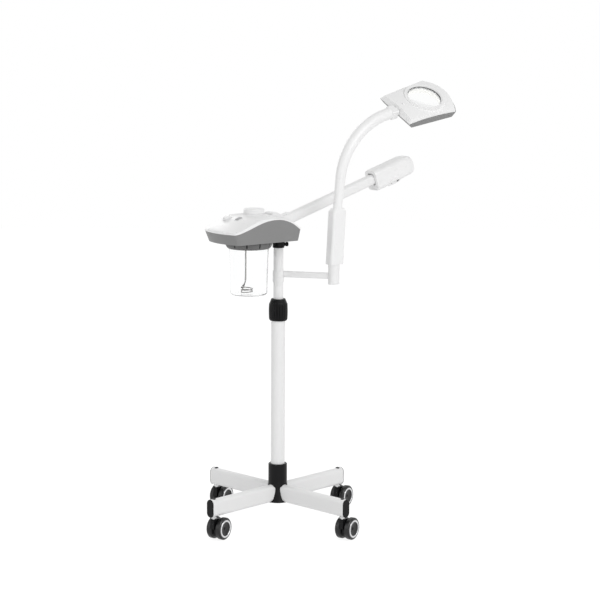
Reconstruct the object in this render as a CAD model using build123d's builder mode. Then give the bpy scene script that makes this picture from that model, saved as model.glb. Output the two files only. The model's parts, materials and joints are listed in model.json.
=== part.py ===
from build123d import *
from math import atan2, cos, degrees, hypot, pi, radians, sin, sqrt, tan
import os

os.makedirs("parts", exist_ok=True)

# Facial steamer on a four-leg castor stand, with a magnifier lamp on a bracket.
# Millimetres and degrees. +Z is up, the floor is z = 0 and the column stands on the origin.
# The steam head, its arm and the lamp all point the same way, HEADING from +X towards +Y.

HEADING = 36.5

# --- castors -----------------------------------------------------------------
WHEEL_RADIUS = 31.0
WHEEL_WIDTH = 17.0
WHEEL_GAP = 12.4
WHEEL_RING_OUTER = 25.0
WHEEL_RING_INNER = 19.0
WHEEL_DISH = 5.0
CASTOR_TRAIL = 25.0
CASTOR_HEADING = 56.0
AXLE_RADIUS = 4.0
STEM_RADIUS = 4.0
STEM_TOP_RADIUS = 5.5
HOUSING_TOP = 61.0
RUNNING_FIT = 0.05
GAP = 0.3

# --- base --------------------------------------------------------------------
LEG_ANGLES = {"front_left": 225, "front_right": 315, "rear_right": 45, "rear_left": 135}
LEG_BOTTOM = 68.0
LEG_HEIGHT = 50.0
LEG_WIDTH = 25.0
LEG_WALL = 1.8
LEG_START = 19.0
BASE_RADIUS = 265.0
END_CAP_THICK = 2.5
END_CAP_PLUG = 12.0
STEM_FROM_TIP = 15.0
BOLT_PLUG_RADIUS = 6.0
HUB_TOP = 176.5
HUB_RADIUS = 26.4
HUB_SKIRT_RADIUS = 27.4
HUB_WAIST_RADIUS = 27.0
HUB_FOOT_RADIUS = 38.0
HUB_FOOT = 1.5

# --- column ------------------------------------------------------------------
LOWER_TUBE_RADIUS = 19.8
LOWER_TUBE_WALL = 2.0
LOWER_TUBE_TOP = 598.0
MAST_RADIUS = 13.8
MAST_WALL = 1.5
MAST_BOTTOM = 300.0
MAST_TOP = 824.0
LOCK_BOTTOM = 586.0
LOCK_TOP = 647.0
LOCK_RADIUS = 26.6
LOCK_FLUTES = 22
FLUTE_SIDE = 3.4
BUSH_DEPTH = 48.0
BUSH_FLANGE = 4.0
BUSH_TOP = 636.0

# --- steam head (in the head's own directions: x runs back along HEADING) -----
HEAD_FRONT = -200.6
HEAD_BACK = 21.0
HEAD_BOTTOM = 816.0
HEAD_RIM_FRONT = 845.0
HEAD_TOP = 893.0
HEAD_HALF_BOTTOM = 71.5
HEAD_HALF_TOP = 80.0
HEAD_FRONT_INSET = 13.8
HEAD_FRONT_TOP = 16.5
HEAD_BACK_INSET = 6.0
HEAD_BACK_TOP = 8.0
HEAD_FRONT_BULGE = 15.0
HEAD_BACK_BULGE = 19.0
HEAD_CORNER = 14.0
HEAD_WALL = 2.5
RIM_RISES = ((0, 0), (32, 8), (63, 19), (93, 29), (123, 34), (153, 33), (175, 27.5), (198, 17), (213, 6.6), (221.6, 1))
CROWN_POINTS = ((-216, 8), (-190, 15), (-155, 30), (-120, 42.5), (-85, 46), (-55, 44), (-25, 36), (0, 27), (20, 15), (42, 6))
CROWN_RADIUS = 430.0
CAP_REACH = 85.0
CAP_RADIUS = 29.0
CAP_TOP = 905.0
CAP_SEAT = 889.0
JAR_REACH = 102.0
JAR_RADIUS_TOP = 54.5
JAR_RADIUS_BOTTOM = 51.0
JAR_WALL = 2.5
JAR_BOTTOM = 669.0
JAR_TOP = 813.5
JAR_CORNER = 6.0
COLLAR_BOTTOM = 797.0
COLLAR_RADIUS = 65.0
COLLAR_FOOT_RADIUS = 58.5
COLLAR_SLOTS = 11
SEAL_THICK = 2.0
HEATER_PLATE_RADIUS = 44.0
HEATER_ROD_RADIUS = 2.5
HEATER_COIL_RADIUS = 21.0
HEATER_COIL_BOTTOM = 675.5
HEATER_COIL_PITCH = 6.5
HEATER_TURNS = 1.5
DUCT_RADIUS = 5.0
DUCT_DROP = 13.0
INLET_WIDTH = 30.0
INLET_TALL = 22.0
INLET_HEIGHT = 831.0
KNOB_PLACE = (-145.5, 41.7)
KNOB_RADIUS = 13.0
KNOB_SHAFT = 3.0
ROCKER_PLACE = (-141.0, -7.0)
ROCKER_RADIUS = 8.5
ROCKER_WIDTH = 13.0
ROCKER_TIP = 7.0
PIVOT_RADIUS = 9.0
SOCKET_RADIUS = 16.4
SOCKET_BOTTOM = 791.0
SOCKET_WALL = 3.0
HEAD_SCREW_HEIGHT = 800.0
HEAD_SCREW_HEADING = 5.0
SCREW_KNOB_RADIUS = 6.2
TURRET_RADIUS = 43.0
TURRET_SEAT = 850.0
PIVOT_BORE = 6.5
FAIRING_FRONT = 38.0
FAIRING_BACK = 36.0

# --- steam arm (a runs along the arm from the turret, b runs up square to it) --
ARM_TILT = 17.3
ARM_ROOT = 858.4
ARM_WIDTH = 27.0
ARM_HEIGHT = 29.0
ARM_CORNER = 9.0
ARM_WALL = 2.0
ARM_START = 30.0
ARM_END = 378.0
NOZZLE_STATIONS = ((328, -4, 50, 43), (390, -3.5, 59, 50), (440, -2.5, 58, 50), (482, -3.2, 51, 45), (502, -6, 34, 34))
NOZZLE_REAR = 328.0
NOZZLE_TILT_ROOM = 8.0
NOZZLE_SIDE_ROOM = 2.0
NOZZLE_CHAMBER = 36.0
NOZZLE_CHAMBER_END = 470.0
NOZZLE_CORNER = 12.0
PIN_RADIUS = 3.0
NOZZLE_SEAM = -9.0
NOZZLE_PIVOT = 364.0
OUTLET_ALONG = 413.0
OUTLET_LENGTH = 50.0
OUTLET_WIDTH = 22.0
OUTLET_BORE = 4.0

# --- lamp bracket -------------------------------------------------------------
BRACKET_HEADING = -15.0
BRACKET_REACH = 158.0
BRACKET_BOTTOM = 708.5
BRACKET_HEIGHT = 17.0
BRACKET_WIDTH = 12.0
BRACKET_RING_RADIUS = 15.8
COLLAR_SCREW_HEADING = 97.0
STOP_COLLAR_HEIGHT = 14.5
POST_RADIUS = 15.8
POST_BOTTOM = 694.0
POST_TOP = 750.0
POST_WALL = 3.2

# --- lamp neck ----------------------------------------------------------------
SLEEVE_TOP = 905.0
SLEEVE_LONG = 45.0
SLEEVE_SHORT = 32.0
SLEEVE_CORNER = 8.0
SLEEVE_SHOULDER = 8.0
SLEEVE_FOOT_OFFSET = 2.2
SLEEVE_OFFSET = 11.3
NECK_LEAN = 6.7
LINK_RUN = 84.0
LINK_BENDS = (0.0, 27.2, 23.0, 20.4)
LINK_RADII = (13.0, 14.5, 15.5, 16.0)
LINK_LIP = 2.0
BALL_RADIUS = 10.5
BALL_GAP = 0.3
BALL_NECK_RADIUS = 7.0
JOINT_OPENING = 7.0

# --- lamp head (u runs out from the neck, v sideways, n up off its face) -------
LAMP_TILT = 12.7
LAMP_ROLL = 32.6
LAMP_LENGTH = 168.0
LAMP_NECK_HALF = 65.0
LAMP_FAR_HALF = 76.0
LAMP_BULGE = 28.0
LAMP_DEPTH = 18.0
LAMP_CROWN = 18.0
LAMP_CROWN_RADIUS = 300.0
LAMP_WALL = 2.5
LENS_REACH = 107.0
LENS_RADIUS = 48.5
LENS_THICK = 9.0
LENS_BULGE = 5.0
LENS_RIM_RADIUS = 58.0
LENS_RIM_TOP = 19.5
LENS_SEAT = 11.0
LIGHT_RADIUS = 59.0
LAMP_ARCH = 4.0
SPIGOT_RADIUS = 7.0
ROLL_BOSS_RADIUS = 11.0
SWITCH_PLACE = (28, 0)
SWITCH_RADIUS = 4.0
CONNECTOR_LENGTH = 28.0
CONNECTOR_WIDTH = 33.0
CONNECTOR_HEIGHT = 28.0
CONNECTOR_CORNER = 5.0

leg_top = LEG_BOTTOM + LEG_HEIGHT
leg_axis = LEG_BOTTOM + LEG_HEIGHT / 2
leg_end = BASE_RADIUS - END_CAP_THICK
stem_reach = BASE_RADIUS - STEM_FROM_TIP
wheel_inner = WHEEL_GAP / 2
wheel_outer = wheel_inner + WHEEL_WIDTH
mast_bore = MAST_RADIUS + RUNNING_FIT
neck_length = LINK_RUN * len(LINK_BENDS)


def level(angle, x=0.0, y=0.0, z=0.0):
    """A level plane at a point, its x axis turned by angle from +X."""
    return Plane(origin=(x, y, z), x_dir=(cos(radians(angle)), sin(radians(angle)), 0), z_dir=(0, 0, 1))


def upright(angle, x=0.0, y=0.0, z=0.0):
    """A vertical plane through a point: its x runs along the angle, its y runs up."""
    a = radians(angle)
    return Plane(origin=(x, y, z), x_dir=(cos(a), sin(a), 0), z_dir=(sin(a), -cos(a), 0))


def across(angle, reach, height):
    """A vertical plane square to the angle, reach out from the column: its x runs sideways, its y up."""
    a = radians(angle)
    return Plane(origin=(reach * cos(a), reach * sin(a), height), x_dir=(-sin(a), cos(a), 0), z_dir=(cos(a), sin(a), 0))


def at(angle, reach, height=0.0):
    """The point reach out from the column along an angle."""
    return (reach * cos(radians(angle)), reach * sin(radians(angle)), height)


# =============================================================================
# Base: hub casting, four stadium-section legs, end caps, plugs and castor stems
# =============================================================================

# The hub is a flared collar with a concave foot that fills the corners between the legs.
with BuildPart() as base_hub:
    with BuildSketch(Plane.XZ):
        with BuildLine():
            Polyline(
                (LOWER_TUBE_RADIUS, leg_top + 2),
                (LOWER_TUBE_RADIUS, HUB_TOP),
                (HUB_RADIUS - 1.5, HUB_TOP),
                (HUB_RADIUS, HUB_TOP - 1.5),
                (HUB_RADIUS, leg_top + 2),
                (HUB_SKIRT_RADIUS, leg_top - 3),
                (HUB_SKIRT_RADIUS, leg_top - 5.5),
                (HUB_WAIST_RADIUS - 2, leg_top - 5.5),
            )
            ThreePointArc(
                (HUB_WAIST_RADIUS - 2, leg_top - 5.5),
                (HUB_WAIST_RADIUS, leg_axis + 2),
                (HUB_FOOT_RADIUS, LEG_BOTTOM + 1.5),
            )
            Polyline(
                (HUB_FOOT_RADIUS, LEG_BOTTOM + 1.5),
                (HUB_FOOT_RADIUS, LEG_BOTTOM - HUB_FOOT),
                (0, LEG_BOTTOM - HUB_FOOT),
                (0, leg_top + 2),
                (LOWER_TUBE_RADIUS, leg_top + 2),
            )
        make_face()
    revolve(axis=Axis.Z)
    for angle in LEG_ANGLES.values():
        with BuildSketch(across(angle, LEG_START, leg_axis)):
            SlotOverall(LEG_HEIGHT, LEG_WIDTH, rotation=90)
        extrude(amount=HUB_FOOT_RADIUS, mode=Mode.SUBTRACT)
    # the fixing screws' heads sit in one central recess under the foot
    with BuildSketch(Plane.XY.offset(LEG_BOTTOM - HUB_FOOT)):
        Circle(9)
    extrude(amount=4, mode=Mode.SUBTRACT)
base_hub.part.label = "base_hub"
export_step(base_hub.part, "parts/base_hub.step")


def make_leg(angle):
    """One stadium tube from the hub out to its end cap, bored for the castor stem and its top plug."""
    with BuildPart() as leg:
        with BuildSketch(across(angle, LEG_START, leg_axis)):
            SlotOverall(LEG_HEIGHT, LEG_WIDTH, rotation=90)
            SlotOverall(LEG_HEIGHT - 2 * LEG_WALL, LEG_WIDTH - 2 * LEG_WALL, rotation=90, mode=Mode.SUBTRACT)
        extrude(amount=leg_end - LEG_START)
        with BuildSketch(level(angle, *at(angle, stem_reach, LEG_BOTTOM - 1))):
            Circle(STEM_TOP_RADIUS + RUNNING_FIT)
        extrude(amount=LEG_HEIGHT / 2, mode=Mode.SUBTRACT)
        with BuildSketch(level(angle, *at(angle, stem_reach, leg_axis))):
            Circle(BOLT_PLUG_RADIUS - 1)
        extrude(amount=LEG_HEIGHT, mode=Mode.SUBTRACT)
    return leg.part


for place, angle in LEG_ANGLES.items():
    leg = make_leg(angle)
    leg.label = "leg_" + place
    export_step(leg, "parts/leg_" + place + ".step")

# Black end caps: a proud stadium lid with a plug that grips inside the tube.
with BuildPart() as leg_end_caps:
    for angle in LEG_ANGLES.values():
        with BuildSketch(across(angle, leg_end, leg_axis)):
            SlotOverall(LEG_HEIGHT + 1, LEG_WIDTH + 1, rotation=90)
        extrude(amount=END_CAP_THICK)
        with BuildSketch(across(angle, leg_end, leg_axis)):
            SlotOverall(LEG_HEIGHT - 2 * LEG_WALL - 0.2, LEG_WIDTH - 2 * LEG_WALL - 0.2, rotation=90)
        extrude(amount=-END_CAP_PLUG)
        with BuildSketch(level(angle, *at(angle, stem_reach, LEG_BOTTOM))):
            Circle(STEM_TOP_RADIUS + 2.5)
        extrude(amount=LEG_HEIGHT, mode=Mode.SUBTRACT)
    tips = leg_end_caps.edges().filter_by(lambda e: hypot(e.center().X, e.center().Y) > BASE_RADIUS - 0.01)
    chamfer(tips, 1.6)
leg_end_caps.part.label = "leg_end_caps"
export_step(leg_end_caps.part, "parts/leg_end_caps.step")

# Domed plugs over the stems' upper holes.
with BuildPart() as leg_bolt_plugs:
    for angle in LEG_ANGLES.values():
        with BuildSketch(level(angle, *at(angle, stem_reach, leg_top))):
            Circle(BOLT_PLUG_RADIUS)
        extrude(amount=1.8, taper=25)
        with BuildSketch(level(angle, *at(angle, stem_reach, leg_top))):
            Circle(BOLT_PLUG_RADIUS - 1.2)
        extrude(amount=-5)
leg_bolt_plugs.part.label = "leg_bolt_plugs"
export_step(leg_bolt_plugs.part, "parts/leg_bolt_plugs.step")

# Steel stems: screwed up into the legs, with a bare shank on which each castor swivels.
with BuildPart() as castor_stems:
    for angle in LEG_ANGLES.values():
        with BuildSketch(level(angle, *at(angle, stem_reach, LEG_BOTTOM))):
            Circle(STEM_TOP_RADIUS)
        extrude(amount=LEG_HEIGHT - 10)
        with BuildSketch(level(angle, *at(angle, stem_reach, LEG_BOTTOM))):
            RegularPolygon(8, 6)
        extrude(amount=-4)
        with BuildSketch(level(angle, *at(angle, stem_reach, LEG_BOTTOM - 4))):
            Circle(STEM_RADIUS)
        extrude(amount=-(LEG_BOTTOM - 4 - 38))
castor_stems.part.label = "castor_stems"
export_step(castor_stems.part, "parts/castor_stems.step")

# =============================================================================
# Castors: a slim housing with its fixed axle, and two wheels that spin alone
# =============================================================================


def castor_side(angle):
    """The vertical plane through one castor's stem that lies along its trail."""
    x, y, z = at(angle, stem_reach)
    return upright(CASTOR_HEADING, x, y, z)


def make_castor_housing(angle):
    """The centre web with its stem boss and the axle pin that carries both wheels."""
    side = castor_side(angle)
    web = WHEEL_GAP / 2 - GAP
    with BuildPart() as housing:
        with BuildSketch(side):
            with Locations((CASTOR_TRAIL, WHEEL_RADIUS)):
                Circle(WHEEL_RADIUS - 3)
            with BuildLine():
                Polyline((-7.5, 34), (-7.5, HOUSING_TOP - 3), (-4.5, HOUSING_TOP), (11, HOUSING_TOP),
                         (CASTOR_TRAIL, WHEEL_RADIUS + WHEEL_RADIUS - 3), (CASTOR_TRAIL, WHEEL_RADIUS), (-7.5, 34))
            make_face()
        extrude(amount=web, both=True)
        with BuildSketch(side):
            with Locations((CASTOR_TRAIL, WHEEL_RADIUS)):
                Circle(AXLE_RADIUS)
        extrude(amount=wheel_outer - WHEEL_DISH - 1, both=True)
        with BuildSketch(level(CASTOR_HEADING, *at(angle, stem_reach, 0))):
            Circle(STEM_RADIUS + RUNNING_FIT)
        extrude(amount=LEG_BOTTOM, mode=Mode.SUBTRACT)
    return housing.part


def make_castor_wheel(angle, hand):
    """One wheel by revolving its half section: tread, raised bright ring, dished centre and hub."""
    x, y, z = at(angle, stem_reach)
    a = radians(CASTOR_HEADING)
    x += CASTOR_TRAIL * cos(a)
    y += CASTOR_TRAIL * sin(a)
    centre = Plane(origin=(x, y, WHEEL_RADIUS), x_dir=(0, 0, 1), z_dir=(cos(a), sin(a), 0))
    inner = wheel_inner
    outer = wheel_outer
    bore = AXLE_RADIUS + RUNNING_FIT
    with BuildPart() as wheel:
        with BuildSketch(centre):
            with BuildLine():
                Polyline(
                    (bore, inner),
                    (WHEEL_RADIUS - 3, inner),
                    (WHEEL_RADIUS, inner + 3.5),
                    (WHEEL_RADIUS, outer - 3.5),
                    (WHEEL_RADIUS - 3, outer - 0.6),
                    (WHEEL_RING_OUTER, outer - 0.6),
                    (WHEEL_RING_OUTER - 0.6, outer),
                    (WHEEL_RING_INNER + 0.6, outer),
                    (WHEEL_RING_INNER - 1, outer - 2.2),
                    (bore + 2.5, outer - WHEEL_DISH),
                    (bore, outer - WHEEL_DISH),
                    (bore, inner),
                )
            make_face()
            if hand < 0:
                mirror(about=Plane.XZ, mode=Mode.REPLACE)
        revolve(axis=Axis((x, y, WHEEL_RADIUS), (-sin(a), cos(a), 0)))
    return wheel.part


for place, angle in LEG_ANGLES.items():
    housing = make_castor_housing(angle)
    housing.label = "castor_housing_" + place
    export_step(housing, "parts/castor_housing_" + place + ".step")
    for side_name, hand in (("near", 1), ("far", -1)):
        wheel = make_castor_wheel(angle, hand)
        wheel.label = "castor_wheel_" + place + "_" + side_name
        export_step(wheel, "parts/castor_wheel_" + place + "_" + side_name + ".step")

# =============================================================================
# Column: lower tube with its bush, the fluted height lock, and the mast
# =============================================================================

with BuildPart() as lower_tube:
    with BuildSketch(Plane.XY.offset(leg_top + 2)):
        Circle(LOWER_TUBE_RADIUS)
        Circle(LOWER_TUBE_RADIUS - LOWER_TUBE_WALL, mode=Mode.SUBTRACT)
    extrude(amount=LOWER_TUBE_TOP - leg_top - 2)
lower_tube.part.label = "lower_tube"
export_step(lower_tube.part, "parts/lower_tube.step")

# The bush guides the mast and carries the split collet that the lock squeezes.
with BuildPart() as column_bush:
    with BuildSketch(Plane.XZ):
        with BuildLine():
            Polyline(
                (mast_bore, LOWER_TUBE_TOP - BUSH_DEPTH),
                (LOWER_TUBE_RADIUS - LOWER_TUBE_WALL - 0.1, LOWER_TUBE_TOP - BUSH_DEPTH),
                (LOWER_TUBE_RADIUS - LOWER_TUBE_WALL - 0.1, LOWER_TUBE_TOP),
                (LOWER_TUBE_RADIUS, LOWER_TUBE_TOP),
                (LOWER_TUBE_RADIUS, LOWER_TUBE_TOP + BUSH_FLANGE),
                (mast_bore + 3.5, LOWER_TUBE_TOP + BUSH_FLANGE),
                (mast_bore + 2.0, BUSH_TOP),
                (mast_bore, BUSH_TOP),
                (mast_bore, LOWER_TUBE_TOP - BUSH_DEPTH),
            )
        make_face()
    revolve(axis=Axis.Z)
    with BuildSketch(Plane.XY.offset(BUSH_TOP)):
        for turn in (0, 90):
            Rectangle(2 * LOWER_TUBE_RADIUS, 1.6, rotation=turn)
    extrude(amount=-(BUSH_TOP - LOWER_TUBE_TOP - BUSH_FLANGE - 2), mode=Mode.SUBTRACT)
column_bush.part.label = "column_bush"
export_step(column_bush.part, "parts/column_bush.step")

# Height lock: a fluted nut, barrel-shaped below and coned with six flats above.
with BuildPart() as height_lock:
    with BuildSketch(Plane.XZ):
        with BuildLine():
            Polyline(
                (LOWER_TUBE_RADIUS + GAP, LOCK_BOTTOM),
                (LOCK_RADIUS - 3, LOCK_BOTTOM),
                (LOCK_RADIUS - 0.8, LOCK_BOTTOM + 4),
            )
            ThreePointArc(
                (LOCK_RADIUS - 0.8, LOCK_BOTTOM + 4),
                (LOCK_RADIUS, (LOCK_BOTTOM + LOCK_TOP) / 2 - 3),
                (LOCK_RADIUS - 0.8, LOCK_TOP - 14),
            )
            Polyline(
                (LOCK_RADIUS - 0.8, LOCK_TOP - 14),
                (LOCK_RADIUS - 2.4, LOCK_TOP - 11),
                (LOWER_TUBE_RADIUS, LOCK_TOP),
                (MAST_RADIUS + GAP, LOCK_TOP),
                (MAST_RADIUS + GAP, BUSH_TOP + 4),
                (mast_bore + 5, BUSH_TOP - 4),
                (LOWER_TUBE_RADIUS + GAP, LOWER_TUBE_TOP + BUSH_FLANGE + 5),
                (LOWER_TUBE_RADIUS + GAP, LOCK_BOTTOM),
            )
        make_face()
    revolve(axis=Axis.Z)
    with BuildSketch(Plane.XY.offset(LOCK_BOTTOM)):
        with PolarLocations(LOCK_RADIUS + 0.6, LOCK_FLUTES):
            Rectangle(FLUTE_SIDE, FLUTE_SIDE, rotation=45)
    extrude(amount=LOCK_TOP - LOCK_BOTTOM - 13, mode=Mode.SUBTRACT)
    with BuildSketch(Plane.XY.offset(LOCK_TOP)):
        Circle(LOCK_RADIUS + 2)
        RegularPolygon(LOWER_TUBE_RADIUS + 2.0, 6, major_radius=False, rotation=12, mode=Mode.SUBTRACT)
    extrude(amount=-9, mode=Mode.SUBTRACT)
height_lock.part.label = "height_lock"
export_step(height_lock.part, "parts/height_lock.step")

with BuildPart() as mast_tube:
    with BuildSketch(Plane.XY.offset(MAST_BOTTOM)):
        Circle(MAST_RADIUS)
        Circle(MAST_RADIUS - MAST_WALL, mode=Mode.SUBTRACT)
    extrude(amount=MAST_TOP - MAST_BOTTOM)
mast_tube.part.label = "mast_tube"
export_step(mast_tube.part, "parts/mast_tube.step")

# A plastic glide on the mast's foot keeps it straight inside the lower tube.
with BuildPart() as mast_glide:
    with BuildSketch(Plane.XY.offset(MAST_BOTTOM - 3)):
        Circle(LOWER_TUBE_RADIUS - LOWER_TUBE_WALL - GAP)
    extrude(amount=25)
    with BuildSketch(Plane.XY.offset(MAST_BOTTOM)):
        Circle(MAST_RADIUS + 0.02)
    extrude(amount=25, mode=Mode.SUBTRACT)
    chamfer(mast_glide.faces().sort_by(Axis.Z)[0].edges(), 1.5)
mast_glide.part.label = "mast_glide"
export_step(mast_glide.part, "parts/mast_glide.step")

# =============================================================================
# Steam head: grey base shell, white cover, socket and screw on the mast
# =============================================================================


def head_outline(drop, rise, half, inset):
    """The head's plan outline at one height: two straight sides, a bowed front and a bowed back."""
    front = HEAD_FRONT + drop + inset
    back = HEAD_BACK + rise - inset
    side = half - inset
    Polyline((back, side), (front, side))
    ThreePointArc((front, side), (front - HEAD_FRONT_BULGE, 0), (front, -side))
    Polyline((front, -side), (back, -side))
    ThreePointArc((back, -side), (back + HEAD_BACK_BULGE, 0), (back, side))


def head_block(inset, bottom):
    """The tapered block that the base and the cover are cut from, drawn in by an inset."""
    with BuildPart() as block:
        with BuildSketch(level(HEADING, 0, 0, bottom)) as low:
            with BuildLine():
                head_outline(HEAD_FRONT_INSET, -HEAD_BACK_INSET, HEAD_HALF_BOTTOM, inset)
            make_face()
            fillet(low.vertices(), HEAD_CORNER - inset)
        with BuildSketch(level(HEADING, 0, 0, HEAD_TOP)) as high:
            with BuildLine():
                head_outline(-HEAD_FRONT_TOP, HEAD_BACK_TOP, HEAD_HALF_TOP, inset)
            make_face()
            fillet(high.vertices(), HEAD_CORNER - inset)
        loft(ruled=True)
    return block.part


def above_rim(lift):
    """Everything above the wavy rim line, as one prism across the head."""
    points = [(HEAD_FRONT + t, HEAD_RIM_FRONT + r + lift) for t, r in RIM_RISES]
    with BuildPart() as prism:
        with BuildSketch(upright(HEADING)):
            with BuildLine():
                Polyline((HEAD_FRONT - 60, HEAD_TOP + 60), (HEAD_FRONT - 60, points[0][1]), points[0])
                Spline(points)
                Polyline(points[-1], (HEAD_BACK + 60, points[-1][1]), (HEAD_BACK + 60, HEAD_TOP + 60), (HEAD_FRONT - 60, HEAD_TOP + 60))
            make_face()
        extrude(amount=120, both=True)
    return prism.part


def under_crown(drop):
    """Everything under the cover's crowned top: an arc carried along the crown line."""
    points = [(x, HEAD_RIM_FRONT + rise - drop) for x, rise in CROWN_POINTS]
    with BuildPart() as body:
        with BuildLine(upright(HEADING)) as path:
            Spline(points)
        spine = path.edges()[0]
        sideways = (-sin(radians(HEADING)), cos(radians(HEADING)), 0)
        with BuildSketch(Plane(origin=spine @ 0, x_dir=sideways, z_dir=spine % 0)):
            with BuildLine():
                sag = CROWN_RADIUS - sqrt(CROWN_RADIUS**2 - 110**2)
                ThreePointArc((-110, -sag), (0, 0), (110, -sag))
                Polyline((110, -sag), (110, -90), (-110, -90), (-110, -sag))
            make_face()
        sweep(path=spine)
    return body.part


outer_block = head_block(0, HEAD_BOTTOM)
inner_block = head_block(HEAD_WALL, HEAD_BOTTOM + HEAD_WALL)
rim_prism = above_rim(0)
crown_body = under_crown(0)
crown_hollow = inner_block & under_crown(HEAD_WALL)

# Base shell: open on top, with the jar's mouth, the mast hole and the heater seat in its floor.
with BuildPart() as head_base:
    add(outer_block)
    add(inner_block, mode=Mode.SUBTRACT)
    add(rim_prism, mode=Mode.SUBTRACT)
    with BuildSketch(level(HEADING, *at(HEADING, -JAR_REACH, HEAD_BOTTOM))):
        Circle(HEATER_PLATE_RADIUS - 6)
    extrude(amount=HEAD_WALL, mode=Mode.SUBTRACT)
    with BuildSketch(Plane.XY.offset(HEAD_BOTTOM)):
        Circle(MAST_RADIUS + 1)
    extrude(amount=HEAD_WALL, mode=Mode.SUBTRACT)
    with BuildSketch(across(HEADING, HEAD_BACK - 6, INLET_HEIGHT)):
        RectangleRounded(INLET_WIDTH, INLET_TALL, 3)
    extrude(amount=40, mode=Mode.SUBTRACT)
    # raised guide ring under the floor that centres the jar collar
    with BuildSketch(level(HEADING, *at(HEADING, -JAR_REACH, HEAD_BOTTOM))):
        Circle(COLLAR_RADIUS - 4.5)
        Circle(COLLAR_RADIUS - 7, mode=Mode.SUBTRACT)
    extrude(amount=-4)
head_base.part.label = "head_base"
export_step(head_base.part, "parts/head_base.step")


def head_at(back, side, height):
    """A point in the part's frame from the head's own back, sideways (far side +) and height."""
    c, s = cos(radians(HEADING)), sin(radians(HEADING))
    return (back * c - side * s, back * s + side * c, height)


def on_crown(back, side, lift=0.0):
    """The plane that lies on the cover's crown at a point of the head, its x running back."""
    for (x0, r0), (x1, r1) in zip(CROWN_POINTS, CROWN_POINTS[1:]):
        if x0 <= back <= x1:
            slope = (r1 - r0) / (x1 - x0)
            rise = r0 + slope * (back - x0)
    drop = CROWN_RADIUS - sqrt(CROWN_RADIUS**2 - side**2)
    c, s = cos(radians(HEADING)), sin(radians(HEADING))
    lean = side / CROWN_RADIUS
    normal = Vector(-slope * c - lean * s, -slope * s + lean * c, 1).normalized()
    foot = Vector(*head_at(back, side, HEAD_RIM_FRONT + rise - drop))
    return Plane(origin=foot + normal * lift, x_dir=(c, s, slope), z_dir=normal)


turret_well = Pos(0, 0, TURRET_SEAT - GAP - HEAD_WALL) * Cylinder(
    TURRET_RADIUS + 3.5, 60, align=(Align.CENTER, Align.CENTER, Align.MIN)
)

# White cover: crowned shell with the arm's well, the filler neck and the controls' seats.
with BuildPart() as head_cover:
    add(outer_block)
    add(rim_prism, mode=Mode.INTERSECT)
    add(crown_body, mode=Mode.INTERSECT)
    add(crown_hollow, mode=Mode.SUBTRACT)
    add(turret_well & outer_block & crown_body)
    with BuildSketch(Plane.XY.offset(TURRET_SEAT - GAP)):
        Circle(TURRET_RADIUS + 0.8)
    extrude(amount=60, mode=Mode.SUBTRACT)
    with BuildSketch(Plane.XY.offset(TURRET_SEAT - GAP - HEAD_WALL)):
        Circle(PIVOT_RADIUS + RUNNING_FIT)
    extrude(amount=HEAD_WALL, mode=Mode.SUBTRACT)
    with BuildSketch(level(HEADING, *at(HEADING, -CAP_REACH, CAP_SEAT - 10))):
        Circle(CAP_RADIUS + 1.5)
    extrude(amount=13)
    with BuildSketch(level(HEADING, *at(HEADING, -CAP_REACH, CAP_SEAT - 10))):
        Circle(CAP_RADIUS - 6)
    extrude(amount=13, mode=Mode.SUBTRACT)
    with BuildSketch(on_crown(*KNOB_PLACE, -5)):
        Circle(KNOB_RADIUS + 1.5)
    extrude(amount=5.6)
    with BuildSketch(on_crown(*KNOB_PLACE, -5)):
        Circle(KNOB_SHAFT + RUNNING_FIT)
    extrude(amount=8, mode=Mode.SUBTRACT)
    with BuildSketch(on_crown(*ROCKER_PLACE, -5)):
        RectangleRounded(2 * ROCKER_RADIUS + 4.6, ROCKER_WIDTH + 4.6, 2)
    extrude(amount=6)
    with BuildSketch(on_crown(*ROCKER_PLACE, -5)):
        Rectangle(2 * ROCKER_RADIUS + 2 * GAP, ROCKER_WIDTH + 2 * GAP)
    extrude(amount=8, mode=Mode.SUBTRACT)
head_cover.part.label = "head_cover"
export_step(head_cover.part, "parts/head_cover.step")

with BuildPart() as filler_cap:
    with BuildSketch(level(HEADING, *at(HEADING, -CAP_REACH, CAP_SEAT + 3 + GAP))):
        Circle(CAP_RADIUS)
    extrude(amount=CAP_TOP - CAP_SEAT - 3 - GAP)
    chamfer(filler_cap.edges().group_by(Axis.Z)[-1], 2)
    with BuildSketch(level(HEADING, *at(HEADING, -CAP_REACH, CAP_SEAT + 3 + GAP))):
        Circle(CAP_RADIUS - 6 - GAP)
    extrude(amount=-9)
    with BuildSketch(level(HEADING, *at(HEADING, -CAP_REACH, CAP_TOP - 5))):
        Circle(CAP_RADIUS + 1)
        Circle(CAP_RADIUS - 0.8, mode=Mode.SUBTRACT)
    extrude(amount=-1.2, mode=Mode.SUBTRACT)
filler_cap.part.label = "filler_cap"
export_step(filler_cap.part, "parts/filler_cap.step")

with BuildPart() as timer_knob:
    with BuildSketch(on_crown(*KNOB_PLACE, 0.6 + GAP)):
        Circle(KNOB_RADIUS)
    extrude(amount=3)
    with BuildSketch(on_crown(*KNOB_PLACE, 3.6 + GAP)):
        Circle(KNOB_RADIUS - 2.5)
    extrude(amount=8)
    with BuildSketch(on_crown(*KNOB_PLACE, 11.6 + GAP)):
        with Locations((-KNOB_RADIUS / 2, 0)):
            Rectangle(KNOB_RADIUS - 3, 1.6)
    extrude(amount=-1, mode=Mode.SUBTRACT)
    with BuildSketch(on_crown(*KNOB_PLACE, 0.6 + GAP)):
        Circle(KNOB_SHAFT)
    extrude(amount=-7)
timer_knob.part.label = "timer_knob"
export_step(timer_knob.part, "parts/timer_knob.step")

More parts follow.
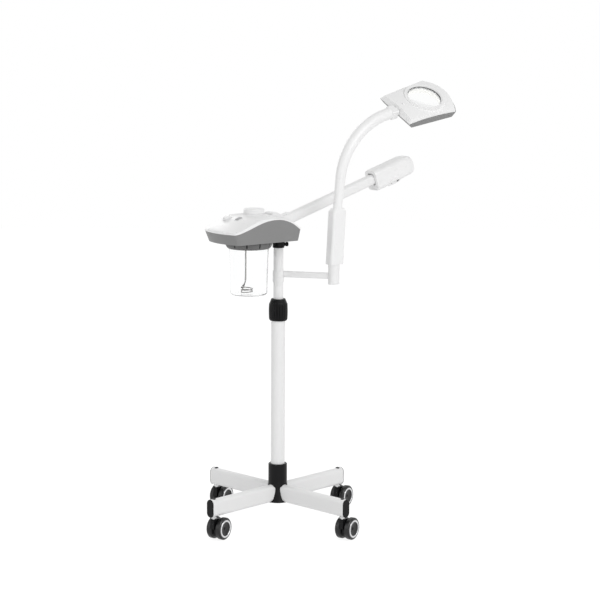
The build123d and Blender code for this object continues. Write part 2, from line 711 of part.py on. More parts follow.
# The rocker is a slice of a drum, so it tips in its slot without touching.
rocker_plane = on_crown(*ROCKER_PLACE, -1)
with BuildPart() as power_switch:
    with BuildSketch(Plane(origin=rocker_plane.origin, x_dir=rocker_plane.x_dir, z_dir=rocker_plane.y_dir)):
        Circle(ROCKER_RADIUS)
        with Locations((0, ROCKER_RADIUS + 4)):
            Rectangle(3 * ROCKER_RADIUS, 2 * ROCKER_RADIUS, rotation=ROCKER_TIP, mode=Mode.SUBTRACT)
            Rectangle(3 * ROCKER_RADIUS, 2 * ROCKER_RADIUS, rotation=-ROCKER_TIP, mode=Mode.SUBTRACT)
        with Locations((0, -ROCKER_RADIUS - 4)):
            Rectangle(3 * ROCKER_RADIUS, 2 * ROCKER_RADIUS, mode=Mode.SUBTRACT)
    extrude(amount=ROCKER_WIDTH / 2, both=True)
power_switch.part.label = "power_switch"
export_step(power_switch.part, "parts/power_switch.step")

# Black socket that clamps the mast and fixes the head on it, flanged up to the floor.
with BuildPart() as head_socket:
    with BuildSketch(Plane.XY.offset(SOCKET_BOTTOM)):
        Circle(SOCKET_RADIUS)
    extrude(amount=HEAD_BOTTOM - SOCKET_BOTTOM)
    with BuildSketch(Plane.XY.offset(HEAD_BOTTOM - SOCKET_WALL)):
        Circle(SOCKET_RADIUS + 6)
    extrude(amount=SOCKET_WALL)
    with BuildSketch(across(HEAD_SCREW_HEADING, MAST_RADIUS, HEAD_SCREW_HEIGHT)):
        Circle(SCREW_KNOB_RADIUS)
    extrude(amount=SOCKET_RADIUS - MAST_RADIUS + 1)
    with BuildSketch(Plane.XY.offset(SOCKET_BOTTOM)):
        Circle(mast_bore)
    extrude(amount=HEAD_BOTTOM - SOCKET_BOTTOM, mode=Mode.SUBTRACT)
    with BuildSketch(across(HEAD_SCREW_HEADING, 0, HEAD_SCREW_HEIGHT)):
        Circle(3 + RUNNING_FIT)
    extrude(amount=SOCKET_RADIUS + 8, mode=Mode.SUBTRACT)
head_socket.part.label = "head_socket"
export_step(head_socket.part, "parts/head_socket.step")


def clamp_screw(heading, height, reach, neck):
    """A thumbscrew pointing at the column: thin shank, collar and a lobed black knob."""
    with BuildPart() as screw:
        with BuildSketch(across(heading, MAST_RADIUS + GAP, height)):
            Circle(3)
        extrude(amount=reach - MAST_RADIUS - GAP)
        with BuildSketch(across(heading, reach, height)):
            Circle(neck)
        extrude(amount=2)
        with BuildSketch(across(heading, reach + 2, height)):
            Circle(SCREW_KNOB_RADIUS)
            with PolarLocations(SCREW_KNOB_RADIUS + 1.4, 8):
                Circle(2.2, mode=Mode.SUBTRACT)
        extrude(amount=7)
        with BuildSketch(across(heading, reach + 9, height)):
            Circle(SCREW_KNOB_RADIUS - 1.8)
        extrude(amount=1)
    return screw.part


head_screw = clamp_screw(HEAD_SCREW_HEADING, HEAD_SCREW_HEIGHT, SOCKET_RADIUS + 1 + GAP, 4.5)
head_screw.label = "head_screw"
export_step(head_screw, "parts/head_screw.step")

# Glass jar: an open cup with a rounded bottom corner, its rim held inside the collar.
with BuildPart() as jar:
    with BuildSketch(upright(HEADING, *at(HEADING, -JAR_REACH))):
        with BuildLine():
            Polyline(
                (0, JAR_BOTTOM),
                (JAR_RADIUS_BOTTOM - JAR_CORNER, JAR_BOTTOM),
            )
            RadiusArc(
                (JAR_RADIUS_BOTTOM - JAR_CORNER, JAR_BOTTOM),
                (JAR_RADIUS_BOTTOM, JAR_BOTTOM + JAR_CORNER),
                -JAR_CORNER,
            )
            Polyline(
                (JAR_RADIUS_BOTTOM, JAR_BOTTOM + JAR_CORNER),
                (JAR_RADIUS_TOP, COLLAR_BOTTOM),
                (JAR_RADIUS_TOP, COLLAR_BOTTOM + 6),
                (JAR_RADIUS_TOP + 2.5, COLLAR_BOTTOM + 9),
                (JAR_RADIUS_TOP + 2.5, JAR_TOP),
                (JAR_RADIUS_TOP - JAR_WALL, JAR_TOP),
                (JAR_RADIUS_TOP - JAR_WALL, COLLAR_BOTTOM),
                (JAR_RADIUS_BOTTOM - JAR_WALL, JAR_BOTTOM + JAR_CORNER),
            )
            RadiusArc(
                (JAR_RADIUS_BOTTOM - JAR_WALL, JAR_BOTTOM + JAR_CORNER),
                (JAR_RADIUS_BOTTOM - JAR_CORNER, JAR_BOTTOM + JAR_WALL),
                JAR_CORNER - JAR_WALL,
            )
            Polyline(
                (JAR_RADIUS_BOTTOM - JAR_CORNER, JAR_BOTTOM + JAR_WALL),
                (0, JAR_BOTTOM + JAR_WALL),
                (0, JAR_BOTTOM),
            )
        make_face()
    revolve(axis=Axis(at(HEADING, -JAR_REACH), (0, 0, 1)))
jar.part.label = "jar"
export_step(jar.part, "parts/jar.step")

# Jar collar: a bayonet ring under the head that carries the jar by its rim.
with BuildPart() as jar_collar:
    with BuildSketch(upright(HEADING, *at(HEADING, -JAR_REACH))):
        with BuildLine():
            Polyline(
                (JAR_RADIUS_TOP + GAP, COLLAR_BOTTOM),
                (COLLAR_FOOT_RADIUS - 1.5, COLLAR_BOTTOM),
                (COLLAR_FOOT_RADIUS, COLLAR_BOTTOM + 1),
            )
            ThreePointArc(
                (COLLAR_FOOT_RADIUS, COLLAR_BOTTOM + 1),
                (COLLAR_RADIUS - 2.2, COLLAR_BOTTOM + 6.5),
                (COLLAR_RADIUS, HEAD_BOTTOM - 5),
            )
            Polyline(
                (COLLAR_RADIUS, HEAD_BOTTOM - 5),
                (COLLAR_RADIUS, HEAD_BOTTOM - GAP),
                (COLLAR_RADIUS - 4.2, HEAD_BOTTOM - GAP),
                (COLLAR_RADIUS - 4.2, HEAD_BOTTOM - 4.5),
                (JAR_RADIUS_TOP + 2.8, HEAD_BOTTOM - 4.5),
                (JAR_RADIUS_TOP + 2.8, COLLAR_BOTTOM + 9 - GAP),
                (JAR_RADIUS_TOP + GAP, COLLAR_BOTTOM + 6 - GAP),
                (JAR_RADIUS_TOP + GAP, COLLAR_BOTTOM),
            )
        make_face()
    revolve(axis=Axis(at(HEADING, -JAR_REACH), (0, 0, 1)))
    with BuildSketch(level(HEADING, *at(HEADING, -JAR_REACH, COLLAR_BOTTOM + 4))):
        with PolarLocations(COLLAR_RADIUS + 1, COLLAR_SLOTS):
            SlotOverall(9, 3.4)
    extrude(amount=HEAD_BOTTOM - COLLAR_BOTTOM, mode=Mode.SUBTRACT)
jar_collar.part.label = "jar_collar"
export_step(jar_collar.part, "parts/jar_collar.step")

with BuildPart() as jar_seal:
    with BuildSketch(level(HEADING, *at(HEADING, -JAR_REACH, HEAD_BOTTOM - SEAL_THICK))):
        Circle(JAR_RADIUS_TOP)
        Circle(JAR_RADIUS_TOP - 6, mode=Mode.SUBTRACT)
    extrude(amount=SEAL_THICK)
jar_seal.part.label = "jar_seal"
export_step(jar_seal.part, "parts/jar_seal.step")

# Heater: a wound rod low in the water, its two straight ends brought up through the plate.
with BuildPart() as heater:
    with BuildLine(level(HEADING, *at(HEADING, -JAR_REACH, HEATER_COIL_BOTTOM))) as winding:
        Helix(pitch=HEATER_COIL_PITCH, height=HEATER_TURNS * HEATER_COIL_PITCH, radius=HEATER_COIL_RADIUS)
    coil = winding.edges()[0]
    with BuildSketch(Plane(origin=coil @ 0, z_dir=coil % 0)):
        Circle(HEATER_ROD_RADIUS)
    sweep(path=coil, is_frenet=True)
    for end in (coil @ 0, coil @ 1):
        with Locations(end):
            Sphere(HEATER_ROD_RADIUS)
        with BuildSketch(Plane(origin=end)):
            Circle(HEATER_ROD_RADIUS)
        extrude(amount=HEAD_BOTTOM + HEAD_WALL + 4 - end.Z)
heater.part.label = "heater"
export_step(heater.part, "parts/heater.step")

# Steel heater plate seated on the floor, with the steam pipe's socket in it.
with BuildPart() as heater_plate:
    with BuildSketch(level(HEADING, *at(HEADING, -JAR_REACH, HEAD_BOTTOM - 2))):
        Circle(HEATER_PLATE_RADIUS - 6.1)
    extrude(amount=2 + HEAD_WALL)
    with BuildSketch(level(HEADING, *at(HEADING, -JAR_REACH, HEAD_BOTTOM + HEAD_WALL))):
        Circle(HEATER_PLATE_RADIUS)
    extrude(amount=3)
    with BuildSketch(level(HEADING, *at(HEADING, -JAR_REACH, HEAD_BOTTOM - 2))):
        with Locations((-20, -8)):
            Circle(DUCT_RADIUS)
    extrude(amount=8, mode=Mode.SUBTRACT)
    for end in (coil @ 0, coil @ 1):
        with BuildSketch(Plane(origin=(end.X, end.Y, HEAD_BOTTOM - 2))):
            Circle(HEATER_ROD_RADIUS)
        extrude(amount=8, mode=Mode.SUBTRACT)
heater_plate.part.label = "heater_plate"
export_step(heater_plate.part, "parts/heater_plate.step")

# Steam pipe inside the head, from the heater plate over to the foot of the arm.
duct_foot = head_at(-JAR_REACH - 20, -8, HEAD_BOTTOM)
duct_height = TURRET_SEAT - DUCT_DROP
with BuildPart() as steam_duct:
    with BuildLine() as route:
        Polyline(
            duct_foot,
            (duct_foot[0], duct_foot[1], duct_height),
            (0, 0, duct_height),
            (0, 0, TURRET_SEAT - GAP - HEAD_WALL - 1),
        )
        fillet(route.vertices().sort_by_distance((0, 0, duct_height))[0:1], 6)
        fillet(route.vertices().sort_by_distance((duct_foot[0], duct_foot[1], duct_height))[0:1], 6)
    with BuildSketch(Plane(origin=duct_foot)):
        Circle(DUCT_RADIUS)
        Circle(DUCT_RADIUS - 1, mode=Mode.SUBTRACT)
    sweep(path=route.wires()[0])
steam_duct.part.label = "steam_duct"
export_step(steam_duct.part, "parts/steam_duct.step")

# Mains inlet: a recessed block with three pins in the back of the base shell.
inlet_back = HEAD_BACK + HEAD_BACK_BULGE - 2
with BuildPart() as power_inlet:
    with BuildSketch(across(HEADING, inlet_back - 22, INLET_HEIGHT)):
        RectangleRounded(INLET_WIDTH, INLET_TALL, 3)
    extrude(amount=22)
    with BuildSketch(across(HEADING, inlet_back, INLET_HEIGHT)):
        RectangleRounded(INLET_WIDTH - 5, INLET_TALL - 5, 3)
    extrude(amount=-17, mode=Mode.SUBTRACT)
    with BuildSketch(across(HEADING, inlet_back - 18, INLET_HEIGHT)):
        with Locations((-7, -2), (0, 2), (7, -2)):
            Rectangle(2, 4)
    extrude(amount=14)
power_inlet.part.label = "power_inlet"
export_step(power_inlet.part, "parts/power_inlet.step")

# =============================================================================
# Steam arm: turret, arm tube and the tilting two-shell nozzle
# =============================================================================

arm_cos, arm_sin = cos(radians(ARM_TILT)), sin(radians(ARM_TILT))
head_cos, head_sin = cos(radians(HEADING)), sin(radians(HEADING))
arm_out = Vector(arm_cos * head_cos, arm_cos * head_sin, arm_sin)
arm_up = Vector(-arm_sin * head_cos, -arm_sin * head_sin, arm_cos)
arm_side = Vector(-head_sin, head_cos, 0)


def arm_point(along, side, up):
    """A point from its run along the arm, its far-side offset and its rise square to the arm."""
    return Vector(0, 0, ARM_ROOT) + arm_out * along + arm_side * side + arm_up * up


def arm_section(along, up=0.0):
    """The plane square to the arm: its x runs to the far side, its y up."""
    return Plane(origin=arm_point(along, 0, up), x_dir=arm_side, z_dir=arm_out)


arm_profile = Plane(origin=arm_point(0, 0, 0), x_dir=arm_out, z_dir=-arm_side)

# The turret is a round foot in the cover's well, with a fairing that takes the arm's root.
with BuildPart() as arm_turret:
    with BuildSketch(Plane.XZ):
        with BuildLine():
            Polyline(
                (PIVOT_BORE, TURRET_SEAT - 6),
                (PIVOT_RADIUS, TURRET_SEAT - 6),
                (PIVOT_RADIUS, TURRET_SEAT),
                (TURRET_RADIUS, TURRET_SEAT),
                (TURRET_RADIUS, TURRET_SEAT + 9),
            )
            ThreePointArc(
                (TURRET_RADIUS, TURRET_SEAT + 9),
                (TURRET_RADIUS - 2.5, TURRET_SEAT + 13.5),
                (TURRET_RADIUS - 8, TURRET_SEAT + 15.5),
            )
            Polyline(
                (TURRET_RADIUS - 8, TURRET_SEAT + 15.5),
                (PIVOT_BORE, TURRET_SEAT + 17),
                (PIVOT_BORE, TURRET_SEAT - 6),
            )
        make_face()
    revolve(axis=Axis.Z)
    with BuildSketch(upright(HEADING)):
        with BuildLine():
            Polyline(
                (FAIRING_BACK, TURRET_SEAT + 10),
                (-FAIRING_FRONT, TURRET_SEAT + 10),
                (-FAIRING_FRONT, TURRET_SEAT + 33),
            )
            Spline(
                (-FAIRING_FRONT, TURRET_SEAT + 33),
                (-FAIRING_FRONT + 8, TURRET_SEAT + 42),
                (-22, TURRET_SEAT + 42.5),
                (-3, TURRET_SEAT + 33),
                (14, TURRET_SEAT + 30.5),
                (FAIRING_BACK, ARM_ROOT + FAIRING_BACK * arm_sin / arm_cos + ARM_HEIGHT / 2 / arm_cos + 1.8),
            )
            Line(
                (FAIRING_BACK, ARM_ROOT + FAIRING_BACK * arm_sin / arm_cos + ARM_HEIGHT / 2 / arm_cos + 1.8),
                (FAIRING_BACK, TURRET_SEAT + 10),
            )
        make_face()
    extrude(amount=ARM_WIDTH / 2 + 4, both=True)
    with BuildSketch(arm_section(ARM_START)):
        RectangleRounded(ARM_WIDTH, ARM_HEIGHT, ARM_CORNER)
    extrude(amount=40, mode=Mode.SUBTRACT)
    with BuildSketch(Plane.XY.offset(TURRET_SEAT - 6)):
        Circle(PIVOT_BORE)
    extrude(amount=24, mode=Mode.SUBTRACT)
arm_turret.part.label = "arm_turret"
export_step(arm_turret.part, "parts/arm_turret.step")

with BuildPart() as arm_tube:
    with BuildSketch(arm_section(ARM_START)):
        RectangleRounded(ARM_WIDTH, ARM_HEIGHT, ARM_CORNER)
        RectangleRounded(ARM_WIDTH - 2 * ARM_WALL, ARM_HEIGHT - 2 * ARM_WALL, ARM_CORNER - ARM_WALL, mode=Mode.SUBTRACT)
    extrude(amount=ARM_END - ARM_START)
    with BuildSketch(arm_profile):
        with Locations((NOZZLE_PIVOT, 0)):
            Circle(PIN_RADIUS + RUNNING_FIT)
    extrude(amount=ARM_WIDTH, both=True, mode=Mode.SUBTRACT)
arm_tube.part.label = "arm_tube"
export_step(arm_tube.part, "parts/arm_tube.step")


def nozzle_block():
    """The nozzle's smooth body through its sections."""
    with BuildPart() as block:
        for along, middle, height, width in NOZZLE_STATIONS:
            with BuildSketch(arm_section(along, middle)):
                RectangleRounded(width, height, NOZZLE_CORNER)
        loft()
    return block.part


def outlet_plane(lift):
    """The plane the steam outlet faces along: down and to the near side, lifted outwards."""
    way = (-arm_side - arm_up).normalized()
    return Plane(origin=arm_point(OUTLET_ALONG, -11, -18.5) + way * lift, x_dir=arm_out, z_dir=way)


# Inside, a straight bay leaves the arm room to tilt and opens into the steam chamber.
with BuildPart() as nozzle_bay:
    with BuildSketch(arm_section(NOZZLE_REAR - 1)):
        RectangleRounded(ARM_WIDTH + NOZZLE_SIDE_ROOM, ARM_HEIGHT + NOZZLE_TILT_ROOM, ARM_CORNER)
    extrude(amount=ARM_END + 4 - NOZZLE_REAR + 1)
    with BuildSketch(arm_section(ARM_END + 3)):
        RectangleRounded(NOZZLE_CHAMBER, NOZZLE_CHAMBER, 6)
    extrude(amount=NOZZLE_CHAMBER_END - ARM_END - 3)

nozzle_shell = nozzle_block() - nozzle_bay.part
with BuildPart() as chevron:
    with BuildSketch(arm_profile):
        Polygon((300, 60), (352, 60), (350, 24), (331, 12), (336, -2), (343, -14), (343, -60), (300, -60), align=None)
    extrude(amount=60, both=True)
    with BuildSketch(outlet_plane(0)):
        SlotOverall(OUTLET_LENGTH, OUTLET_WIDTH)
    extrude(amount=30)

with BuildPart() as nozzle_cover:
    add(nozzle_shell)
    add(chevron.part, mode=Mode.SUBTRACT)
    with BuildSketch(arm_profile):
        Polygon((300, NOZZLE_SEAM), (560, NOZZLE_SEAM), (560, -80), (300, -80), align=None)
    extrude(amount=60, both=True, mode=Mode.SUBTRACT)
    for side in (-1, 1):
        with BuildSketch(Plane(origin=arm_point(NOZZLE_PIVOT, side * (ARM_WIDTH / 2 - 2.5), 0), x_dir=arm_out, z_dir=arm_side * side)):
            Circle(PIN_RADIUS)
        extrude(amount=11.5)
        with BuildSketch(Plane(origin=arm_point(NOZZLE_PIVOT, side * (ARM_WIDTH / 2 + GAP), 0), x_dir=arm_out, z_dir=arm_side * side)):
            Circle(PIN_RADIUS + 3)
        extrude(amount=8.5)
nozzle_cover.part.label = "nozzle_cover"
export_step(nozzle_cover.part, "parts/nozzle_cover.step")

with BuildPart() as nozzle_base:
    add(nozzle_shell)
    add(chevron.part, mode=Mode.SUBTRACT)
    with BuildSketch(arm_profile):
        Polygon((300, NOZZLE_SEAM), (560, NOZZLE_SEAM), (560, 80), (300, 80), align=None)
    extrude(amount=60, both=True, mode=Mode.SUBTRACT)
nozzle_base.part.label = "nozzle_base"
export_step(nozzle_base.part, "parts/nozzle_base.step")

with BuildPart() as steam_outlet:
    with BuildSketch(outlet_plane(9)):
        SlotOverall(OUTLET_LENGTH, OUTLET_WIDTH)
    extrude(amount=8.5)
    chamfer(steam_outlet.faces().sort_by(Axis(outlet_plane(0).origin, outlet_plane(0).z_dir))[-1].edges(), 1)
    with BuildSketch(outlet_plane(9)):
        with Locations((12, 0)):
            Circle(OUTLET_BORE)
        with Locations((-12, 0)):
            Circle(1.5)
    extrude(amount=10, mode=Mode.SUBTRACT)
steam_outlet.part.label = "steam_outlet"
export_step(steam_outlet.part, "parts/steam_outlet.step")

# =============================================================================
# Lamp bracket: stop collar with its screw, and the swinging bar with the post
# =============================================================================

collar_bottom = BRACKET_BOTTOM - GAP - STOP_COLLAR_HEIGHT
with BuildPart() as stop_collar:
    with BuildSketch(Plane.XY.offset(collar_bottom)):
        Circle(BRACKET_RING_RADIUS)
    extrude(amount=STOP_COLLAR_HEIGHT)
    with BuildSketch(across(COLLAR_SCREW_HEADING, MAST_RADIUS, collar_bottom + STOP_COLLAR_HEIGHT / 2)):
        Circle(4.5)
    extrude(amount=BRACKET_RING_RADIUS - MAST_RADIUS + 1)
    with BuildSketch(Plane.XY.offset(collar_bottom)):
        Circle(mast_bore)
    extrude(amount=STOP_COLLAR_HEIGHT, mode=Mode.SUBTRACT)
    with BuildSketch(across(COLLAR_SCREW_HEADING, 0, collar_bottom + STOP_COLLAR_HEIGHT / 2)):
        Circle(3 + RUNNING_FIT)
    extrude(amount=BRACKET_RING_RADIUS + 8, mode=Mode.SUBTRACT)
stop_collar.part.label = "stop_collar"
export_step(stop_collar.part, "parts/stop_collar.step")

collar_screw = clamp_screw(COLLAR_SCREW_HEADING, collar_bottom + STOP_COLLAR_HEIGHT / 2, BRACKET_RING_RADIUS + 1 + GAP, 4.5)
collar_screw.label = "collar_screw"
export_step(collar_screw, "parts/collar_screw.step")

post_x, post_y, post_z = at(BRACKET_HEADING, BRACKET_REACH)
with BuildPart() as lamp_bracket:
    with BuildSketch(Plane.XY.offset(BRACKET_BOTTOM)):
        Circle(BRACKET_RING_RADIUS)
    extrude(amount=BRACKET_HEIGHT)
    with BuildSketch(across(BRACKET_HEADING, 10, BRACKET_BOTTOM + BRACKET_HEIGHT / 2)):
        RectangleRounded(BRACKET_WIDTH, BRACKET_HEIGHT, 2.5)
    extrude(amount=BRACKET_REACH - 20)
    with BuildSketch(Plane(origin=(post_x, post_y, POST_BOTTOM))):
        Circle(POST_RADIUS)
    extrude(amount=POST_TOP - POST_BOTTOM)
    with BuildSketch(Plane.XY.offset(BRACKET_BOTTOM)):
        Circle(mast_bore)
    extrude(amount=BRACKET_HEIGHT, mode=Mode.SUBTRACT)
    with BuildSketch(Plane(origin=(post_x, post_y, POST_BOTTOM))):
        Circle(POST_RADIUS - POST_WALL)
    extrude(amount=POST_TOP - POST_BOTTOM, mode=Mode.SUBTRACT)
lamp_bracket.part.label = "lamp_bracket"
export_step(lamp_bracket.part, "parts/lamp_bracket.step")

# =============================================================================
# Lamp neck: sleeve on its pin, then four links joined by balls into one bow
# =============================================================================


def neck_plane(run, height):
    """A level plane in the neck's own upright plane, run out from the post."""
    return level(HEADING, post_x + run * head_cos, post_y + run * head_sin, height)


def neck_place(run):
    """How far along the bow: its offset from the post, its height and its lean from upright."""
    offset = SLEEVE_OFFSET
    height = SLEEVE_TOP
    lean = radians(NECK_LEAN)
    left = run
    for bend in LINK_BENDS:
        part = min(left, LINK_RUN)
        half_turn = radians(bend) * part / LINK_RUN / 2
        chord = part * sin(half_turn) / half_turn if half_turn else part
        offset += chord * sin(lean + half_turn)
        height += chord * cos(lean + half_turn)
        lean += 2 * half_turn
        left -= part
    return offset, height, lean


def neck_point(run):
    offset, height, lean = neck_place(run)
    return Vector(post_x + offset * head_cos, post_y + offset * head_sin, height)


def neck_way(run):
    offset, height, lean = neck_place(run)
    return Vector(sin(lean) * head_cos, sin(lean) * head_sin, cos(lean))


def neck_section(run):
    """The plane square to the bow at a run: its x points to the far side."""
    return Plane(origin=neck_point(run), x_dir=arm_side, z_dir=neck_way(run))


def sleeve_block(inset, bottom, top, shoulder):
    """The leaning sleeve: one rounded section carried straight up, then drawn in at the shoulder."""
    lean = (SLEEVE_OFFSET - SLEEVE_FOOT_OFFSET) / (SLEEVE_TOP - POST_TOP)
    long_side = SLEEVE_LONG - 2 * inset
    short_side = SLEEVE_SHORT - 2 * inset
    with BuildPart() as block:
        for height in (bottom, top - shoulder):
            with BuildSketch(neck_plane(SLEEVE_FOOT_OFFSET + lean * (height - POST_TOP), height)):
                RectangleRounded(long_side, short_side, SLEEVE_CORNER - inset)
        loft(ruled=True)
        if shoulder:
            with BuildSketch(neck_plane(SLEEVE_FOOT_OFFSET + lean * (top - shoulder - POST_TOP), top - shoulder)):
                RectangleRounded(long_side, short_side, SLEEVE_CORNER)
            with BuildSketch(neck_plane(SLEEVE_OFFSET, top)):
                RectangleRounded(long_side - 1.4 * shoulder, short_side - shoulder * 0.8, SLEEVE_CORNER - 1)
            loft(ruled=True)
    return block.part


with BuildPart() as neck_sleeve:
    add(sleeve_block(0, POST_TOP + GAP, SLEEVE_TOP, SLEEVE_SHOULDER))
    add(sleeve_block(3, POST_TOP + 6, SLEEVE_TOP - 24, 0), mode=Mode.SUBTRACT)
    with BuildSketch(Plane(origin=(post_x, post_y, POST_TOP))):
        Circle(POST_RADIUS - POST_WALL - RUNNING_FIT)
    extrude(amount=10, mode=Mode.SUBTRACT)
    with Locations(neck_section(0)):
        Sphere(BALL_RADIUS + BALL_GAP, mode=Mode.SUBTRACT)
neck_sleeve.part.label = "neck_sleeve"
export_step(neck_sleeve.part, "parts/neck_sleeve.step")

with BuildPart() as neck_pin:
    with BuildSketch(Plane(origin=(post_x, post_y, POST_BOTTOM + 8))):
        Circle(POST_RADIUS - POST_WALL - RUNNING_FIT)
    extrude(amount=POST_TOP + 18 - POST_BOTTOM - 8)
    chamfer(neck_pin.edges().group_by(Axis.Z)[0], 1.5)
neck_pin.part.label = "neck_pin"
export_step(neck_pin.part, "parts/neck_pin.step")

for index, bend in enumerate(LINK_BENDS):
    first = index * LINK_RUN
    last = first + LINK_RUN
    radius = LINK_RADII[index]
    with BuildPart() as link:
        with BuildLine() as bow:
            if bend:
                ThreePointArc(
                    neck_point(first + JOINT_OPENING),
                    neck_point((first + JOINT_OPENING + last) / 2),
                    neck_point(last),
                )
            else:
                Line(neck_point(first + JOINT_OPENING), neck_point(last))
        with BuildSketch(neck_section(first + JOINT_OPENING)):
            Circle(radius)
        sweep(path=bow.edges()[0])
        with BuildSketch(neck_section(last)):
            Circle(radius)
        extrude(amount=LINK_LIP)
        with Locations(neck_section(last)):
            Sphere(BALL_RADIUS + BALL_GAP, mode=Mode.SUBTRACT)
        with Locations(neck_section(first)):
            Sphere(BALL_RADIUS)
        with BuildSketch(neck_section(first + BALL_RADIUS / 2)):
            Circle(BALL_NECK_RADIUS)
        extrude(amount=JOINT_OPENING - BALL_RADIUS / 2 + 2)
    link.part.label = f"neck_link_{index + 1}"
    export_step(link.part, f"parts/neck_link_{index + 1}.step")

# =============================================================================
# Lamp head: connector, grey base, white cover, lens with its ring, and light
# =============================================================================

lamp_cos, lamp_sin = cos(radians(LAMP_TILT)), sin(radians(LAMP_TILT))
roll_cos, roll_sin = cos(radians(LAMP_ROLL)), sin(radians(LAMP_ROLL))
lamp_out = Vector(lamp_cos * head_cos, lamp_cos * head_sin, lamp_sin)
lamp_over = Vector(-lamp_sin * head_cos, -lamp_sin * head_sin, lamp_cos)
lamp_face = lamp_over * roll_cos - arm_side * roll_sin
lamp_across = lamp_face.cross(lamp_out)
lamp_origin = neck_point(neck_length) + lamp_out * CONNECTOR_LENGTH


def lamp_point(out, side, up):
    return lamp_origin + lamp_out * out + lamp_across * side + lamp_face * up


def lamp_level(up):
    """A plane parallel to the lamp's face, raised by up: x runs out from the neck, y to the far side."""
    return Plane(origin=lamp_point(0, 0, up), x_dir=lamp_out, z_dir=lamp_face)


def lamp_section(out, up=0.0):
    """The plane square to the lamp's length: x runs to the far side, y up."""
    return Plane(origin=lamp_point(out, 0, up), x_dir=lamp_across, z_dir=lamp_out)


lamp_profile = Plane(origin=lamp_point(0, 0, 0), x_dir=lamp_out, z_dir=-lamp_across)
lens_axis = Axis(lamp_point(LENS_REACH, 0, 0), lamp_face)


def lamp_outline(neck, sides, far, inset):
    """The lamp's plan outline drawn in at its neck end, sides and far end."""
    near_half = LAMP_NECK_HALF - sides - inset
    far_half = LAMP_FAR_HALF - sides - inset
    start = neck + inset
    end = LAMP_LENGTH - far - inset
    Polyline((end, far_half), (start, near_half), (start, -near_half), (end, -far_half))
    ThreePointArc((end, -far_half), (end + LAMP_BULGE, 0), (end, far_half))


def lamp_block(low, high, inset):
    """A tapered slab between two heights, each given as height, neck, sides and far draw-in."""
    with BuildPart() as block:
        for up, neck, sides, far in (low, high):
            with BuildSketch(lamp_level(up)):
                with BuildLine():
                    lamp_outline(neck, sides, far, inset)
                make_face()
        loft(ruled=True)
    return block.part


def lamp_over_rim():
    """Everything above the lamp's arched rim line."""
    with BuildPart() as prism:
        with BuildSketch(lamp_profile):
            with BuildLine():
                Polyline((-40, 60), (-40, 0), (0, 0))
                ThreePointArc((0, 0), (LAMP_LENGTH / 2, LAMP_ARCH), (LAMP_LENGTH, 0))
                Polyline((LAMP_LENGTH, 0), (LAMP_LENGTH + 60, 0), (LAMP_LENGTH + 60, 60), (-40, 60))
            make_face()
        extrude(amount=120, both=True)
    return prism.part


def lamp_under_crown(drop):
    """A long drum under the cover's crown, so the cover bows across its width."""
    with BuildPart() as drum:
        with BuildSketch(lamp_section(-20, LAMP_CROWN - LAMP_CROWN_RADIUS)):
            Circle(LAMP_CROWN_RADIUS - drop)
        extrude(amount=LAMP_LENGTH + 80)
    return drum.part


lamp_rim = lamp_over_rim()
base_slab = lamp_block((-LAMP_DEPTH, 16, 3.5, 7.5), (6, -5, -1, -2.5), 0)
base_hollow = lamp_block((-LAMP_DEPTH, 16, 3.5, 7.5), (6, -5, -1, -2.5), LAMP_WALL)
lens_rim_sag = LAMP_CROWN_RADIUS - (LAMP_CROWN_RADIUS**2 - LENS_RIM_RADIUS**2) ** 0.5
cover_slab = lamp_block((-2, 0, 0, 0), (LAMP_CROWN, 9, 9, 11), 0) & lamp_under_crown(0)
cover_hollow = lamp_block((-4.5, 0, 0, 0), (LAMP_CROWN - LAMP_WALL, 9, 9, 11), LAMP_WALL) & lamp_under_crown(LAMP_WALL)

with BuildPart() as lamp_base:
    add(base_slab)
    add(lamp_rim, mode=Mode.SUBTRACT)
    add(base_hollow.moved(Location(lamp_face * LAMP_WALL)), mode=Mode.SUBTRACT)
    with BuildSketch(lamp_level(-LAMP_DEPTH)):
        with Locations((LENS_REACH, 0)):
            Circle(LIGHT_RADIUS)
    extrude(amount=LAMP_WALL, mode=Mode.SUBTRACT)
    with BuildSketch(lamp_section(-10)):
        Circle(ROLL_BOSS_RADIUS)
    extrude(amount=40, mode=Mode.SUBTRACT)
lamp_base.part.label = "lamp_base"
export_step(lamp_base.part, "parts/lamp_base.step")

with BuildPart() as lamp_cover:
    add(cover_slab)
    add(lamp_rim, mode=Mode.INTERSECT)
    add(cover_hollow, mode=Mode.SUBTRACT)
    with BuildSketch(lamp_section(1)):
        Circle(ROLL_BOSS_RADIUS)
    extrude(amount=24)
    with BuildSketch(lamp_level(LAMP_CROWN - LAMP_WALL - lens_rim_sag)):
        with Locations((LENS_REACH, 0)):
            Circle(LENS_RIM_RADIUS)
    extrude(amount=LENS_RIM_TOP - LAMP_CROWN + LAMP_WALL + lens_rim_sag)
    with BuildSketch(lamp_level(-LAMP_DEPTH)):
        with Locations((LENS_REACH, 0)):
            Circle(LENS_RADIUS + 3.5)
    extrude(amount=60, mode=Mode.SUBTRACT)
    with BuildSketch(lamp_section(-5)):
        Circle(SPIGOT_RADIUS + RUNNING_FIT)
    extrude(amount=28, mode=Mode.SUBTRACT)
    with BuildSketch(lamp_level(LAMP_CROWN - LAMP_WALL - 3)):
        with Locations(SWITCH_PLACE):
            Circle(6)
    extrude(amount=3)
    with BuildSketch(lamp_level(-LAMP_DEPTH)):
        with Locations(SWITCH_PLACE):
            Circle(SWITCH_RADIUS + RUNNING_FIT)
    extrude(amount=60, mode=Mode.SUBTRACT)
lamp_cover.part.label = "lamp_cover"
export_step(lamp_cover.part, "parts/lamp_cover.step")

